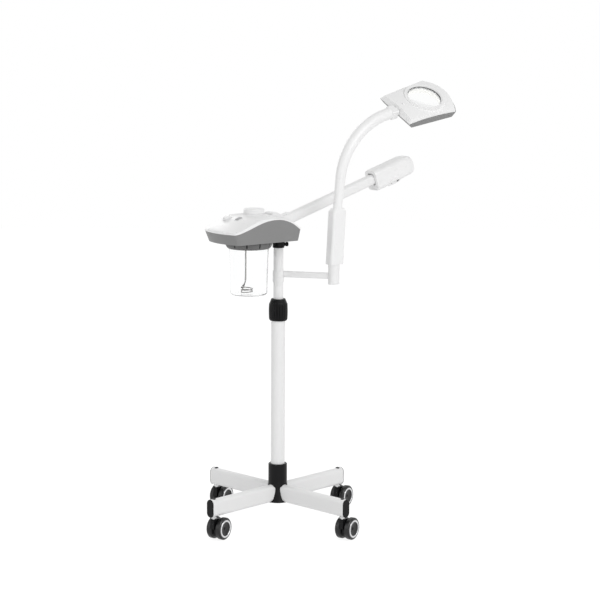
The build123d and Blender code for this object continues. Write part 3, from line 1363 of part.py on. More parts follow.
with BuildPart() as lens_ring:
    with BuildSketch(lamp_level(-LAMP_DEPTH + LAMP_WALL)):
        with Locations((LENS_REACH, 0)):
            Circle(LENS_RADIUS + 3.5)
            Circle(LENS_RADIUS - 2.5, mode=Mode.SUBTRACT)
    extrude(amount=LAMP_DEPTH - LAMP_WALL + LENS_SEAT)
    with BuildSketch(lamp_level(LENS_SEAT)):
        with Locations((LENS_REACH, 0)):
            Circle(LENS_RADIUS + 3.5)
            Circle(LENS_RADIUS, mode=Mode.SUBTRACT)
    extrude(amount=LENS_RIM_TOP - LENS_SEAT)
lens_ring.part.label = "lens_ring"
export_step(lens_ring.part, "parts/lens_ring.step")

lens_curve = (LENS_RADIUS**2 + LENS_BULGE**2) / (2 * LENS_BULGE)
with BuildPart() as lens:
    with BuildSketch(Plane(origin=lamp_point(LENS_REACH, 0, LENS_SEAT), x_dir=lamp_out, z_dir=-lamp_across)):
        with BuildLine():
            RadiusArc((0, LENS_THICK), (LENS_RADIUS, LENS_THICK - LENS_BULGE), lens_curve)
            Polyline((LENS_RADIUS, LENS_THICK - LENS_BULGE), (LENS_RADIUS, 0), (0, 0), (0, LENS_THICK))
        make_face()
    revolve(axis=lens_axis)
lens.part.label = "lens"
export_step(lens.part, "parts/lens.step")

with BuildPart() as lamp_light:
    with BuildSketch(lamp_level(-LAMP_DEPTH)):
        with Locations((LENS_REACH, 0)):
            Circle(LIGHT_RADIUS)
            Circle(LENS_RADIUS - 1, mode=Mode.SUBTRACT)
    extrude(amount=LAMP_WALL)
    with BuildSketch(lamp_level(-LAMP_DEPTH + LAMP_WALL)):
        with Locations((LENS_REACH, 0)):
            Circle(LIGHT_RADIUS + 2)
            Circle(LENS_RADIUS + 3.5, mode=Mode.SUBTRACT)
    extrude(amount=2)
lamp_light.part.label = "lamp_light"
export_step(lamp_light.part, "parts/lamp_light.step")

with BuildPart() as lamp_switch:
    with BuildSketch(lamp_level(LAMP_CROWN - 9)):
        with Locations(SWITCH_PLACE):
            Circle(SWITCH_RADIUS)
    extrude(amount=12)
lamp_switch.part.label = "lamp_switch"
export_step(lamp_switch.part, "parts/lamp_switch.step")

# The connector swivels on the last link and carries the spigot the lamp rolls on.
with BuildPart() as lamp_connector:
    with Locations(lamp_section(-CONNECTOR_LENGTH)):
        Sphere(BALL_RADIUS)
    with BuildSketch(lamp_section(-CONNECTOR_LENGTH + BALL_RADIUS / 2)):
        Circle(BALL_NECK_RADIUS)
    extrude(amount=JOINT_OPENING - BALL_RADIUS / 2 + 1)
    with BuildSketch(lamp_section(-CONNECTOR_LENGTH + JOINT_OPENING)):
        RectangleRounded(CONNECTOR_WIDTH, CONNECTOR_HEIGHT, CONNECTOR_CORNER)
    extrude(amount=CONNECTOR_LENGTH - JOINT_OPENING - GAP)
    with BuildSketch(lamp_section(-GAP)):
        Circle(SPIGOT_RADIUS)
    extrude(amount=20)
lamp_connector.part.label = "lamp_connector"
export_step(lamp_connector.part, "parts/lamp_connector.step")
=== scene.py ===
"""Finishes and detail for a facial steamer on a castor stand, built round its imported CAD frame."""

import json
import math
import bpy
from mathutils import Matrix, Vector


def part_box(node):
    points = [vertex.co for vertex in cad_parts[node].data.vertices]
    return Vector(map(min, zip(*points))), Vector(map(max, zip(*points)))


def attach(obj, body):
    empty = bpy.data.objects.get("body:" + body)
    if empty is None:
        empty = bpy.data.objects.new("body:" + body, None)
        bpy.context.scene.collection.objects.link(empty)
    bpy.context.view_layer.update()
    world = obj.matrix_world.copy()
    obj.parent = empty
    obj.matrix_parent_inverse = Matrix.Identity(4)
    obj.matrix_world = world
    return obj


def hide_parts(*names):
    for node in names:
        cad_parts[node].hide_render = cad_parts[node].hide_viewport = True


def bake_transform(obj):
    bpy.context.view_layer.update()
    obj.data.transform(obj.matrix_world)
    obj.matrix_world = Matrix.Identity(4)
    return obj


bl_info = {
    "name": "Facial Steamer",
    "version": (1, 0, 0),
    "blender": (4, 5, 0),
    "location": "View3D > Sidebar > Steamer",
    "description": "Builds the stand, steam head, arm, lamp neck and lamp of a facial steamer",
    "category": "Object",
}

import bmesh
import bpy
from mathutils import Matrix, Vector
from mathutils.geometry import interpolate_bezier

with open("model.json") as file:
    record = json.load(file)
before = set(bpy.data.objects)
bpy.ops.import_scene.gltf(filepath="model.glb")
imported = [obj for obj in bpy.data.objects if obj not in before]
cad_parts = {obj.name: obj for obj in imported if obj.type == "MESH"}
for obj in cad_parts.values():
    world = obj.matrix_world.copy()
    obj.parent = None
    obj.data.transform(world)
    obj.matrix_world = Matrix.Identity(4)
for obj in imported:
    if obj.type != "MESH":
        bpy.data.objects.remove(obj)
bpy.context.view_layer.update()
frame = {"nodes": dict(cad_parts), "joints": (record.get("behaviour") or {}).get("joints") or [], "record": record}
JOINTS = {joint["name"]: joint for joint in frame["joints"]}
BODY_OF = {
    node: body
    for body, nodes in frame["record"]["behaviour"]["bodies"].items()
    for node in nodes
}
SLOT_OF = {row["node"]: row["material_slot"] for row in frame["record"]["subparts"]}
PLACES = ("front_left", "front_right", "rear_right", "rear_left")
UP = Vector((0, 0, 1))

# Points closer than this are one point, and faces within this angle are one face.
WELD = 0.00002
FLAT_ANGLE = math.radians(0.6)
# Edges that turn by more than this look sharp.
SMOOTH_ANGLE = math.radians(30)
# Rounding of the large moulded shells.
SHELL_EDGE = 0.0012
LATHE_STEPS = 96


# ---------------------------------------------------------------------------
# Directions that several pieces share
# ---------------------------------------------------------------------------


def pin(joint):
    """A joint's own point and direction."""
    row = JOINTS[joint]
    return Vector(row.get("pos_m", (0, 0, 0))), Vector(row["axis"]).normalized()


def pin_of_mount(mount):
    """A mount's own point and direction."""
    row = next(row for row in frame["record"]["mounts"] if row["name"] == mount)
    return Vector(row["pos_m"]), Vector(row["axis"]).normalized()


NEAR_SIDE = pin("neck_bend")[1]
BACKWARDS = UP.cross(NEAR_SIDE).normalized()
FAR_SIDE = -NEAR_SIDE
OUTLET_MOUTH, OUTLET_WAY = pin_of_mount("steam_nozzle_bore")
ARM_OUT = NEAR_SIDE.cross(OUTLET_WAY).normalized()
ARM_UP = NEAR_SIDE.cross(ARM_OUT)


def levels(node, origin, way):
    """A CAD node's lowest and highest level along a direction."""
    found = [(vertex.co - origin).dot(way) for vertex in frame["nodes"][node].data.vertices]
    return min(found), max(found)


def frame_at(origin, x_axis, z_axis):
    """A matrix whose x and z run along the given directions."""
    z = z_axis.normalized()
    y = z.cross(x_axis).normalized()
    x = y.cross(z)
    matrix = Matrix((x, y, z)).transposed().to_4x4()
    matrix.translation = origin
    return matrix


# ---------------------------------------------------------------------------
# Sizes and colours
# ---------------------------------------------------------------------------


def length(name, description, default):
    """A size in metres."""
    return bpy.props.FloatProperty(
        name=name, description=description, default=default, min=0.0, unit="LENGTH", precision=5
    )


def colour(name, description, default):
    """A plain colour."""
    return bpy.props.FloatVectorProperty(
        name=name, description=description, default=default, size=3, min=0.0, max=1.0, subtype="COLOR"
    )


def share(name, description, default):
    """A share between none and all."""
    return bpy.props.FloatProperty(
        name=name, description=description, default=default, min=0.0, max=1.0, subtype="FACTOR"
    )


def turn(name, description, default):
    """An angle."""
    return bpy.props.FloatProperty(
        name=name, description=description, default=default, unit="ROTATION"
    )


def power(name, description, default):
    """A lamp's power."""
    return bpy.props.FloatProperty(
        name=name, description=description, default=default, min=0.0, unit="POWER"
    )


class STEAMER_PG_stage(bpy.types.PropertyGroup):
    """The camera, floor and lights"""

    camera_place: bpy.props.FloatVectorProperty(
        name="Camera place", description="Where the camera stands", subtype="TRANSLATION",
        unit="LENGTH", size=3, default=(-0.0524, -5.3, 1.4791),
    )
    camera_pan: turn("Pan", "Camera turned to the right", math.radians(1.2215))
    camera_pitch: turn("Pitch", "Camera tipped down", math.radians(8.9625))
    camera_roll: turn("Roll", "Camera rolled over its line of sight", math.radians(0.316))
    camera_lens: bpy.props.FloatProperty(
        name="Lens", description="Focal length", default=115.3, min=1.0, unit="CAMERA"
    )
    floor_size: length("Floor size", "Side of the square floor", 14.0)
    floor_colour: colour("Floor colour", "Pale floor paint", (0.9, 0.9, 0.9))
    key_power: power("Key light", "Strength of the large light", 60.0)
    fill_power: power("Fill light", "Strength of the fill light and of the one behind", 20.0)
    low_power: power("Low light", "Strength of the light near the floor", 11.0)
    sky_level: share("Sky level", "Strength of the even light from all round", 0.54)
    floor_glow: bpy.props.FloatProperty(
        name="Floor glow", description="Brightness that lifts the floor to white", default=1.22, min=0.0
    )
    glow_share: share("Glow share", "How much of the floor's look is that glow", 0.72)


class STEAMER_PG_finish(bpy.types.PropertyGroup):
    """The colours of the finishes"""

    white_paint: colour("White paint", "Powder coat on the metal parts", (0.86, 0.86, 0.86))
    white_plastic: colour("White plastic", "Moulded white covers", (0.88, 0.88, 0.88))
    grey_plastic: colour("Grey plastic", "Moulded grey shells", (0.235, 0.235, 0.235))
    black_plastic: colour("Black plastic", "Lock, hub, caps, socket and castors", (0.005, 0.005, 0.0055))
    # Painted shade: the collar is grey plastic, given a darker tone for the head's shadow over it.
    collar_grey: colour("Collar grey", "The jar's collar, darker than the shells", (0.13, 0.13, 0.13))
    # Also used for the thin ring over the lens's rim, which is painted shade for the gap between bezel and lens.
    dark_plastic: colour("Dark plastic", "Bushes, inner pipe and the lens's gasket", (0.05, 0.05, 0.052))
    steel: colour("Steel", "Castor stems, heater plate and the neck's pin", (0.62, 0.62, 0.62))
    bright_ring: colour("Bright ring", "Plated rings on the wheels", (0.66, 0.66, 0.67))
    heater_sheath: colour("Heater sheath", "Heating rod, darkened by use", (0.3, 0.295, 0.29))
    jar_tint: colour("Jar tint", "Clear jar", (0.985, 0.99, 0.992))
    lens_tint: colour("Lens tint", "Polished lens", (0.98, 0.985, 0.985))
    seal: colour("Seal", "Soft seals and the mains rocker", (0.45, 0.45, 0.46))
    diffuser: colour("Diffuser", "Frosted light ring", (0.9, 0.9, 0.87))
    diffuser_glow: share("Diffuser glow", "Faint light of the frosted ring", 0.3)


class STEAMER_PG_base(bpy.types.PropertyGroup):
    """The base, castors and column"""

    edge: length("Edge round", "Rounding of the cast and cut edges", 0.0009)
    ring_inner: length("Ring inner radius", "Inside of a wheel's bright ring", 0.0195)
    ring_outer: length("Ring outer radius", "Outside of a wheel's bright ring", 0.0245)
    foot_radius: length("Foot radius", "Radius of the hub's foot below the legs", 0.0295)
    ring_proud: length("Ring stand", "How far a ring stands off its wheel", 0.0007)


class STEAMER_PG_head(bpy.types.PropertyGroup):
    """The steam head's controls"""

    small_edge: length("Small edge round", "Rounding of the small pieces", 0.0006)
    dial_seat: length("Dial seat", "Height over the dial's turning point where it meets the cover", 0.001)
    dial_height: length("Dial height", "How far the timer's dial stands over its seat", 0.0072)


class STEAMER_PG_nozzle(bpy.types.PropertyGroup):
    """The nozzle at the end of the steam arm"""

    rear_reach: length("Rear reach", "How far the shells reach back past the tilt pin", 0.0145)
    blunt_from: length("Blunt from", "Run from the tilt pin where the front starts to fill out", 0.09)
    blunt_run: length("Blunt run", "Run over which it fills out", 0.048)
    blunt_height: share("Blunt height", "Height that the tip gains, as a share", 0.28)
    blunt_back: length("Blunt back", "How far the tip is pushed back", 0.004)
    boss_sink: length("Boss sink", "How far the outlet boss is sunk", 0.0022)
    throat_gap: length("Throat gap", "Room between the arm and the shells' throat", 0.0004)


class STEAMER_PG_jar(bpy.types.PropertyGroup):
    """The jar, its collar and the heater"""

    rod_radius: length("Rod radius", "Radius of the heating rod", 0.0014)
    coil_radius: length("Coil radius", "Radius of the heater's turns", 0.0155)
    coil_pitch: length("Coil pitch", "Rise of each turn", 0.0062)
    coil_shift: length("Coil shift", "How far the turns stand to the left of the jar's axis", 0.0055)
    lead_shift: length("Lead shift", "How far the leads stand to the left of the jar's axis", 0.0092)
    slot_count: bpy.props.IntProperty(
        name="Slots", description="Finger slots round the jar's collar", default=11, min=1
    )
    slot_reach: length("Slot reach", "Radius of the strips in the slots", 0.0622)


class STEAMER_PG_neck(bpy.types.PropertyGroup):
    """The lamp's flexible neck"""

    lean: turn("First lean", "Lean of the lowest length from upright", math.radians(6.7))
    second_bend: turn("Second bend", "Bend of the second length", math.radians(27.2))
    third_bend: turn("Third bend", "Bend of the third length", math.radians(23.0))
    fourth_bend: turn("Fourth bend", "Bend of the fourth length", math.radians(20.4))
    length_run: length("Length run", "Run of the bow from one joint to the next", 0.084)
    foot_radius: length("Foot radius", "Radius of the neck where it leaves the sleeve", 0.0128)
    head_radius: length("Head radius", "Radius of the neck at the lamp", 0.0163)


class STEAMER_PG_lamp(bpy.types.PropertyGroup):
    """The lens and the rings round it"""

    lens_radius: length("Lens radius", "Radius of the magnifying lens", 0.0485)
    lens_edge: length("Lens edge", "Thickness of the lens at its edge", 0.004)
    bezel_wall: length("Bezel wall", "Thickness of the ring round the lens", 0.0035)
    seat_lip: length("Seat lip", "How far the lens rests on its seat", 0.0025)
    light_radius: length("Light radius", "Outside of the frosted light at the lamp's underside", 0.0588)


SETTINGS = {
    "steamer_stage": STEAMER_PG_stage,
    "steamer_finish": STEAMER_PG_finish,
    "steamer_base": STEAMER_PG_base,
    "steamer_head": STEAMER_PG_head,
    "steamer_nozzle": STEAMER_PG_nozzle,
    "steamer_jar": STEAMER_PG_jar,
    "steamer_neck": STEAMER_PG_neck,
    "steamer_lamp": STEAMER_PG_lamp,
}


# ---------------------------------------------------------------------------
# Finishes
# ---------------------------------------------------------------------------


def new_material(name):
    """An empty node material with its shader and output joined."""
    material = bpy.data.materials.new(name)
    material.use_nodes = True
    nodes = material.node_tree.nodes
    nodes.clear()
    shader = nodes.new("ShaderNodeBsdfPrincipled")
    output = nodes.new("ShaderNodeOutputMaterial")
    material.node_tree.links.new(shader.outputs["BSDF"], output.inputs["Surface"])
    return material, shader


def add_noise(material, scale, detail=3.0, roughness=0.5):
    """A noise pattern fixed to the piece."""
    nodes, links = material.node_tree.nodes, material.node_tree.links
    place = nodes.new("ShaderNodeTexCoord")
    noise = nodes.new("ShaderNodeTexNoise")
    noise.inputs["Scale"].default_value = scale
    noise.inputs["Detail"].default_value = detail
    noise.inputs["Roughness"].default_value = roughness
    links.new(place.outputs["Object"], noise.inputs["Vector"])
    return noise.outputs["Fac"]


def spread(material, fac, low, high):
    """A value carried from the middle of a pattern's range to low and high."""
    nodes, links = material.node_tree.nodes, material.node_tree.links
    ranged = nodes.new("ShaderNodeMapRange")
    ranged.inputs["From Min"].default_value = 0.3
    ranged.inputs["From Max"].default_value = 0.7
    ranged.inputs["To Min"].default_value = low
    ranged.inputs["To Max"].default_value = high
    links.new(fac, ranged.inputs["Value"])
    return ranged.outputs["Result"]


def two_tones(material, shader, fac, tone, drift):
    """Lets the colour drift a little either side of its tone."""
    nodes, links = material.node_tree.nodes, material.node_tree.links
    mixed = nodes.new("ShaderNodeMix")
    mixed.data_type = "RGBA"
    mixed.inputs["A"].default_value = (*[min(1.0, c * (1 - drift)) for c in tone], 1)
    mixed.inputs["B"].default_value = (*[min(1.0, c * (1 + drift)) for c in tone], 1)
    links.new(fac, mixed.inputs["Factor"])
    links.new(mixed.outputs["Result"], shader.inputs["Base Color"])


def add_bump(material, shader, height, distance):
    """Raises the surface by a pattern."""
    nodes, links = material.node_tree.nodes, material.node_tree.links
    bump = nodes.new("ShaderNodeBump")
    bump.inputs["Distance"].default_value = distance
    links.new(height, bump.inputs["Height"])
    links.new(bump.outputs["Normal"], shader.inputs["Normal"])


def moulded(name, tone, roughness, drift=0.02, grain=1400.0, depth=0.00002, specular=0.5):
    """Moulded plastic or powder coat: a faint drift of tone, uneven gloss and a fine grain."""
    material, shader = new_material(name)
    two_tones(material, shader, add_noise(material, scale=14.0, detail=4.0), tone, drift)
    gloss = add_noise(material, scale=55.0, detail=5.0, roughness=0.6)
    material.node_tree.links.new(
        spread(material, gloss, roughness * 0.88, roughness * 1.14), shader.inputs["Roughness"]
    )
    add_bump(material, shader, add_noise(material, scale=grain, detail=2.0), depth)
    shader.inputs["Specular IOR Level"].default_value = specular
    return material


def metal(name, tone, roughness, grain=300.0):
    """Plated or drawn metal with a fine cloud in its gloss."""
    material, shader = new_material(name)
    two_tones(material, shader, add_noise(material, scale=40.0, detail=4.0), tone, drift=0.04)
    shader.inputs["Metallic"].default_value = 1.0
    cloud = add_noise(material, scale=grain, roughness=0.55)
    material.node_tree.links.new(
        spread(material, cloud, roughness * 0.75, roughness * 1.3), shader.inputs["Roughness"]
    )
    return material


def clear(name, tone, ior, roughness, cloud_scale):
    """Clear moulded or polished glass with a trace of unevenness in its gloss."""
    material, shader = new_material(name)
    two_tones(material, shader, add_noise(material, scale=9.0, detail=2.0), tone, drift=0.015)
    shader.inputs["Transmission Weight"].default_value = 1.0
    shader.inputs["IOR"].default_value = ior
    cloud = add_noise(material, scale=cloud_scale)
    material.node_tree.links.new(
        spread(material, cloud, roughness * 0.6, roughness * 1.5), shader.inputs["Roughness"]
    )
    return material


def any_seen_ray(nodes, links):
    """1 where a ray is a view ray, directly, by reflection or through clear material."""
    path = nodes.new("ShaderNodeLightPath")
    seen = path.outputs["Is Camera Ray"]
    for kind in ("Is Glossy Ray", "Is Transmission Ray"):
        either = nodes.new("ShaderNodeMath")
        either.operation = "MAXIMUM"
        links.new(seen, either.inputs[0])
        links.new(path.outputs[kind], either.inputs[1])
        seen = either.outputs[0]
    return seen


FINISHES = {}


def make_finishes(finish):
    """Every material of the steamer, kept by its slot's name or its own."""
    # Plastics and paints: tone, roughness, drift of tone, grain, its depth and specular level.
    # Metals: tone, roughness and grain. Clear ones: tone, refraction, roughness and cloud.
    FINISHES.update(
        white_metal=moulded("white_powder_coat", finish.white_paint, 0.36, 0.012, 900.0, 0.00003),
        white_plastic=moulded("white_moulding", finish.white_plastic, 0.3, 0.012, 1600.0, 0.000015),
        grey_plastic=moulded("grey_moulding", finish.grey_plastic, 0.48, 0.03, 1500.0, 0.00003),
        black_plastic=moulded("black_moulding", finish.black_plastic, 0.42, 0.12, 1300.0, 0.00003, 0.16),
        # Painted shade: the collar's grey plastic darkened for the head's shadow over it.
        collar_grey=moulded("collar_moulding", finish.collar_grey, 0.46, 0.03, 1500.0, 0.00003),
        dark_plastic=moulded("dark_bearing", finish.dark_plastic, 0.45, 0.08),
        wheel_black=moulded("wheel_black", finish.black_plastic, 0.32, 0.15, 700.0, 0.00004, 0.4),
        steel=metal("drawn_steel", finish.steel, 0.28),
        bright_ring=metal("plated_ring", finish.bright_ring, 0.26, 500.0),
        heater_sheath=metal("heater_sheath", finish.heater_sheath, 0.34, 700.0),
        clear_jar=clear("clear_jar", finish.jar_tint, 1.2, 0.02, 60.0),
        lens_glass=clear("lens_glass", finish.lens_tint, 1.45, 0.01, 80.0),
        seal_rubber=moulded("soft_seal", finish.seal, 0.6, 0.05, 800.0, 0.00004),
        diffuser=moulded("frosted_diffuser", finish.diffuser, 0.5, 0.01, 2000.0, 0.00002),
    )
    frosted = FINISHES["diffuser"].node_tree.nodes["Principled BSDF"]
    frosted.inputs["Emission Color"].default_value = (1.0, 0.99, 0.97, 1)
    frosted.inputs["Emission Strength"].default_value = finish.diffuser_glow


# ---------------------------------------------------------------------------
# Making pieces
# ---------------------------------------------------------------------------


def new_object(shape, name, material, smooth_angle=SMOOTH_ANGLE):
    """Turns a finished bmesh into an object at the origin, smooth up to an angle."""
    mesh = bpy.data.meshes.new(name)
    shape.to_mesh(mesh)
    shape.free()
    mesh.shade_smooth()
    mesh.set_sharp_from_angle(angle=smooth_angle)
    mesh.materials.append(material)
    made = bpy.data.objects.new(name, mesh)
    bpy.context.scene.collection.objects.link(made)
    return made


def put_piece(shape, name, body, slot, replaced=(), finish=None):
    """Turns a finished bmesh into a piece that rides on its body."""
    piece = new_object(shape, name, FINISHES[finish or slot])
    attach(piece, body)
    if replaced:
        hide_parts(*replaced)
    return piece


def replace_node(shape, node, name, slot=None, finish=None):
    """Puts a reworked copy of a CAD node in its place, with broad faces kept flat."""
    piece = put_piece(shape, name, BODY_OF[node], slot or SLOT_OF[node], (node,), finish)
    modifier = piece.modifiers.new("even_shading", "WEIGHTED_NORMAL")
    modifier.keep_sharp = True
    modifier.weight = 80


def make_whole(shape):
    """Joins the facets of each flat face and turns every face outwards."""
    bmesh.ops.dissolve_limit(
        shape, angle_limit=FLAT_ANGLE, verts=shape.verts, edges=shape.edges
    )
    bmesh.ops.recalc_face_normals(shape, faces=shape.faces)


def copy_node(node):
    """A CAD node's shape as a joined-up bmesh."""
    shape = bmesh.new()
    shape.from_mesh(frame["nodes"][node].data)
    bmesh.ops.remove_doubles(shape, verts=shape.verts, dist=WELD)
    make_whole(shape)
    return shape


def round_edges(shape, width, segments=2, over=32.0):
    """Rounds the edges that turn by more than over, in degrees."""
    edges = [
        edge
        for edge in shape.edges
        if edge.is_manifold and edge.calc_face_angle(0.0) > math.radians(over)
    ]
    bmesh.ops.bevel(
        shape, geom=edges, offset=width, offset_type="OFFSET", segments=segments, profile=0.5,
        affect="EDGES", clamp_overlap=True, material=-1,
    )


def refine_node(node, name, width, segments=2, over=32.0, slot=None, finish=None):
    """A CAD node rebuilt with rounded edges."""
    shape = copy_node(node)
    if width > 0:
        round_edges(shape, width, segments, over)
    replace_node(shape, node, name, slot, finish)


def lathe(profile, place, name, body, slot, replaced=(), finish=None):
    """Spins a closed profile of (radius, height) points round a place's z axis."""
    shape = bmesh.new()
    points = [shape.verts.new((radius, 0, height)) for radius, height in profile]
    edges = [shape.edges.new(pair) for pair in zip(points, points[1:] + points[:1])]
    bmesh.ops.spin(
        shape, geom=points + edges, axis=(0, 0, 1), cent=(0, 0, 0), angle=2 * math.pi,
        steps=LATHE_STEPS, use_merge=True,
    )
    bmesh.ops.remove_doubles(shape, verts=shape.verts, dist=WELD / 4)
    bmesh.ops.recalc_face_normals(shape, faces=shape.faces)
    bmesh.ops.transform(shape, matrix=place, verts=shape.verts)
    put_piece(shape, name, body, slot, replaced, finish)


def sweep_rings(stations, steps):
    """A round section carried through stations, each a place and a radius, with both ends capped."""
    shape = bmesh.new()
    place, radius = stations[0]
    ring = bmesh.ops.create_circle(shape, cap_ends=True, segments=steps, radius=radius)
    bmesh.ops.transform(shape, matrix=place, verts=ring["verts"])
    edges = [edge for edge in shape.edges if edge.is_boundary]
    for following, wide in stations[1:]:
        grown = bmesh.ops.extrude_edge_only(shape, edges=edges)["geom"]
        verts = [item for item in grown if isinstance(item, bmesh.types.BMVert)]
        edges = [item for item in grown if isinstance(item, bmesh.types.BMEdge)]
        scale = Matrix.Diagonal((wide / radius, wide / radius, 1, 1))
        bmesh.ops.transform(shape, matrix=following @ scale @ place.inverted(), verts=verts)
        place, radius = following, wide
    bmesh.ops.holes_fill(shape, edges=edges, sides=0)
    bmesh.ops.recalc_face_normals(shape, faces=shape.faces)
    return shape


# ---------------------------------------------------------------------------
# Stage
# ---------------------------------------------------------------------------


class STEAMER_OT_stage(bpy.types.Operator):
    """Make the floor, lights and camera"""

    bl_idname = "steamer.stage"
    bl_label = "Stage"

    # Each light's place, the height on the column's axis that it points at, its side and its power.
    LIGHTS = {
        "key_light": ((2.6, -2.6, 3.0), 0.6, 2.2, "key_power"),
        "fill_light": ((-3.0, -2.2, 1.6), 0.6, 2.4, "fill_power"),
        "low_light": ((1.2, -3.6, 0.7), 0.3, 1.6, "low_power"),
        "rim_light": ((-1.6, 3.0, 2.0), 0.7, 2.0, "fill_power"),
    }
    WHITE = (1, 1, 1, 1)

    def execute(self, context):
        stage = context.scene.steamer_stage
        self.make_floor(stage)
        self.make_sky(context.scene, stage)
        for name, (place, aim, size, strength) in self.LIGHTS.items():
            self.add_light(name, Vector(place), UP * aim, size, getattr(stage, strength))
        self.add_camera(context.scene, stage)
        context.scene.view_settings.view_transform = "Standard"
        return {"FINISHED"}

    def make_floor(self, stage):
        """A pale floor that looks white and still takes a shadow."""
        material, shader = new_material("pale_floor")
        nodes, links = material.node_tree.nodes, material.node_tree.links
        two_tones(material, shader, add_noise(material, scale=3.0), stage.floor_colour, drift=0.01)
        shader.inputs["Roughness"].default_value = 0.9
        seen = any_seen_ray(nodes, links)
        glow = nodes.new("ShaderNodeEmission")
        glow.inputs["Color"].default_value = self.WHITE
        glow.inputs["Strength"].default_value = stage.floor_glow
        share_seen = nodes.new("ShaderNodeMath")
        share_seen.operation = "MULTIPLY"
        share_seen.inputs[1].default_value = stage.glow_share
        blend = nodes.new("ShaderNodeMixShader")
        links.new(seen, share_seen.inputs[0])
        links.new(share_seen.outputs[0], blend.inputs["Fac"])
        links.new(shader.outputs["BSDF"], blend.inputs[1])
        links.new(glow.outputs["Emission"], blend.inputs[2])
        links.new(blend.outputs[0], nodes["Material Output"].inputs["Surface"])
        shape = bmesh.new()
        bmesh.ops.create_grid(shape, x_segments=1, y_segments=1, size=stage.floor_size / 2)
        new_object(shape, "floor", material)

    def make_sky(self, scene, stage):
        """Even light from all round, seen as white."""
        world = bpy.data.worlds.new("studio")
        scene.world = world
        world.use_nodes = True
        nodes, links = world.node_tree.nodes, world.node_tree.links
        nodes.clear()
        blend = nodes.new("ShaderNodeMixShader")
        links.new(any_seen_ray(nodes, links), blend.inputs["Fac"])
        for index, strength in ((1, stage.sky_level), (2, 1.0)):
            even = nodes.new("ShaderNodeBackground")
            even.inputs["Color"].default_value = self.WHITE
            even.inputs["Strength"].default_value = strength
            links.new(even.outputs[0], blend.inputs[index])
        output = nodes.new("ShaderNodeOutputWorld")
        links.new(blend.outputs[0], output.inputs["Surface"])

    def add_light(self, name, place, target, size, strength):
        """A square soft light turned to its target."""
        data = bpy.data.lights.new(name, "AREA")
        data.shape = "SQUARE"
        data.size = size
        data.energy = strength
        light = bpy.data.objects.new(name, data)
        bpy.context.scene.collection.objects.link(light)
        light.location = place
        light.rotation_euler = (target - place).to_track_quat("-Z", "Y").to_euler()

    def add_camera(self, scene, stage):
        """The camera, turned by its pan, pitch and roll."""
        data = bpy.data.cameras.new("camera")
        data.sensor_width = 36.0
        data.lens = stage.camera_lens
        data.clip_end = 60.0
        camera = bpy.data.objects.new("camera", data)
        scene.collection.objects.link(camera)
        pan, pitch, roll = stage.camera_pan, stage.camera_pitch, stage.camera_roll
        ahead = Vector(
            (math.sin(pan) * math.cos(pitch), math.cos(pan) * math.cos(pitch), -math.sin(pitch))
        )
        right = Vector((math.cos(pan), -math.sin(pan), 0))
        above = right.cross(ahead)
        rolled = right * math.cos(roll) + above * math.sin(roll)
        camera.matrix_world = frame_at(Vector(stage.camera_place), rolled, -ahead)
        scene.camera = camera


# ---------------------------------------------------------------------------
# Base, castors and column
# ---------------------------------------------------------------------------


class STEAMER_OT_base(bpy.types.Operator):
    """Make the hub, legs, end caps and plugs"""

    bl_idname = "steamer.base"
    bl_label = "Base"

    def execute(self, context):
        sizes = context.scene.steamer_base
        self.add_hub(sizes)
        for place in PLACES:
            refine_node("leg_" + place, "leg_tube_" + place, sizes.edge * 0.5)
        refine_node("leg_end_caps", "end_caps", sizes.edge, 3)
        refine_node("leg_bolt_plugs", "bolt_plugs", sizes.edge * 0.7, slot="black_plastic")
        refine_node("castor_stems", "castor_pins", sizes.edge * 0.4, 1)
        return {"FINISHED"}

    def add_hub(self, sizes):
        """The hub with its foot drawn in under the legs."""
        shape = copy_node("base_hub")
        under_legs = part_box("leg_front_left")[0].z
        for vertex in shape.verts:
            reach = vertex.co.xy.length
            if vertex.co.z < under_legs and reach > sizes.foot_radius:
                vertex.co.xy *= sizes.foot_radius / reach
        round_edges(shape, sizes.edge)
        replace_node(shape, "base_hub", "hub_casting")


class STEAMER_OT_castors(bpy.types.Operator):
    """Make the castor housings, wheels and their bright rings"""

    bl_idname = "steamer.castors"
    bl_label = "Castors"

    RING_SUNK = 0.002
    RING_ROUNDING = 0.0006

    def execute(self, context):
        sizes = context.scene.steamer_base
        for place in PLACES:
            refine_node("castor_housing_" + place, "castor_hood_" + place, sizes.edge * 0.7)
            for side, hand in (("near", -1), ("far", 1)):
                wheel = f"{place}_{side}"
                refine_node("castor_wheel_" + wheel, "wheel_" + wheel, sizes.edge * 0.8)
                self.add_ring(wheel, hand, sizes)
        return {"FINISHED"}

    def add_ring(self, wheel, hand, sizes):
        """The plated ring let into a wheel's outer face."""
        centre, axle = pin("wheel_spin_" + wheel)
        outwards = axle * hand
        _, face = levels("castor_wheel_" + wheel, centre, outwards)
        inner, outer, proud = sizes.ring_inner, sizes.ring_outer, sizes.ring_proud
        shoulder = proud * 0.7
        profile = [
            (inner, -self.RING_SUNK), (inner, 0.0), (inner + self.RING_ROUNDING, shoulder),
            ((inner + outer) / 2, proud),
            (outer - self.RING_ROUNDING, shoulder), (outer, 0.0), (outer, -self.RING_SUNK),
        ]
        lathe(
            profile, frame_at(centre + outwards * face, UP, outwards),
            "wheel_ring_" + wheel, "wheel_" + wheel, "steel", finish="bright_ring",
        )


class STEAMER_OT_column(bpy.types.Operator):
    """Make the lower tube, height lock and mast"""

    bl_idname = "steamer.column"
    bl_label = "Column"

    def execute(self, context):
        edge = context.scene.steamer_base.edge
        refine_node("lower_tube", "lower_column", edge * 0.4)
        refine_node("column_bush", "collet_bush", edge * 0.3, 1)
        refine_node("height_lock", "height_lock_nut", edge * 0.5, over=24.0)
        refine_node("mast_tube", "upper_mast", edge * 0.4)
        refine_node("mast_glide", "mast_foot", edge * 0.3, 1)
        return {"FINISHED"}


# ---------------------------------------------------------------------------
# Steam head and jar
# ---------------------------------------------------------------------------


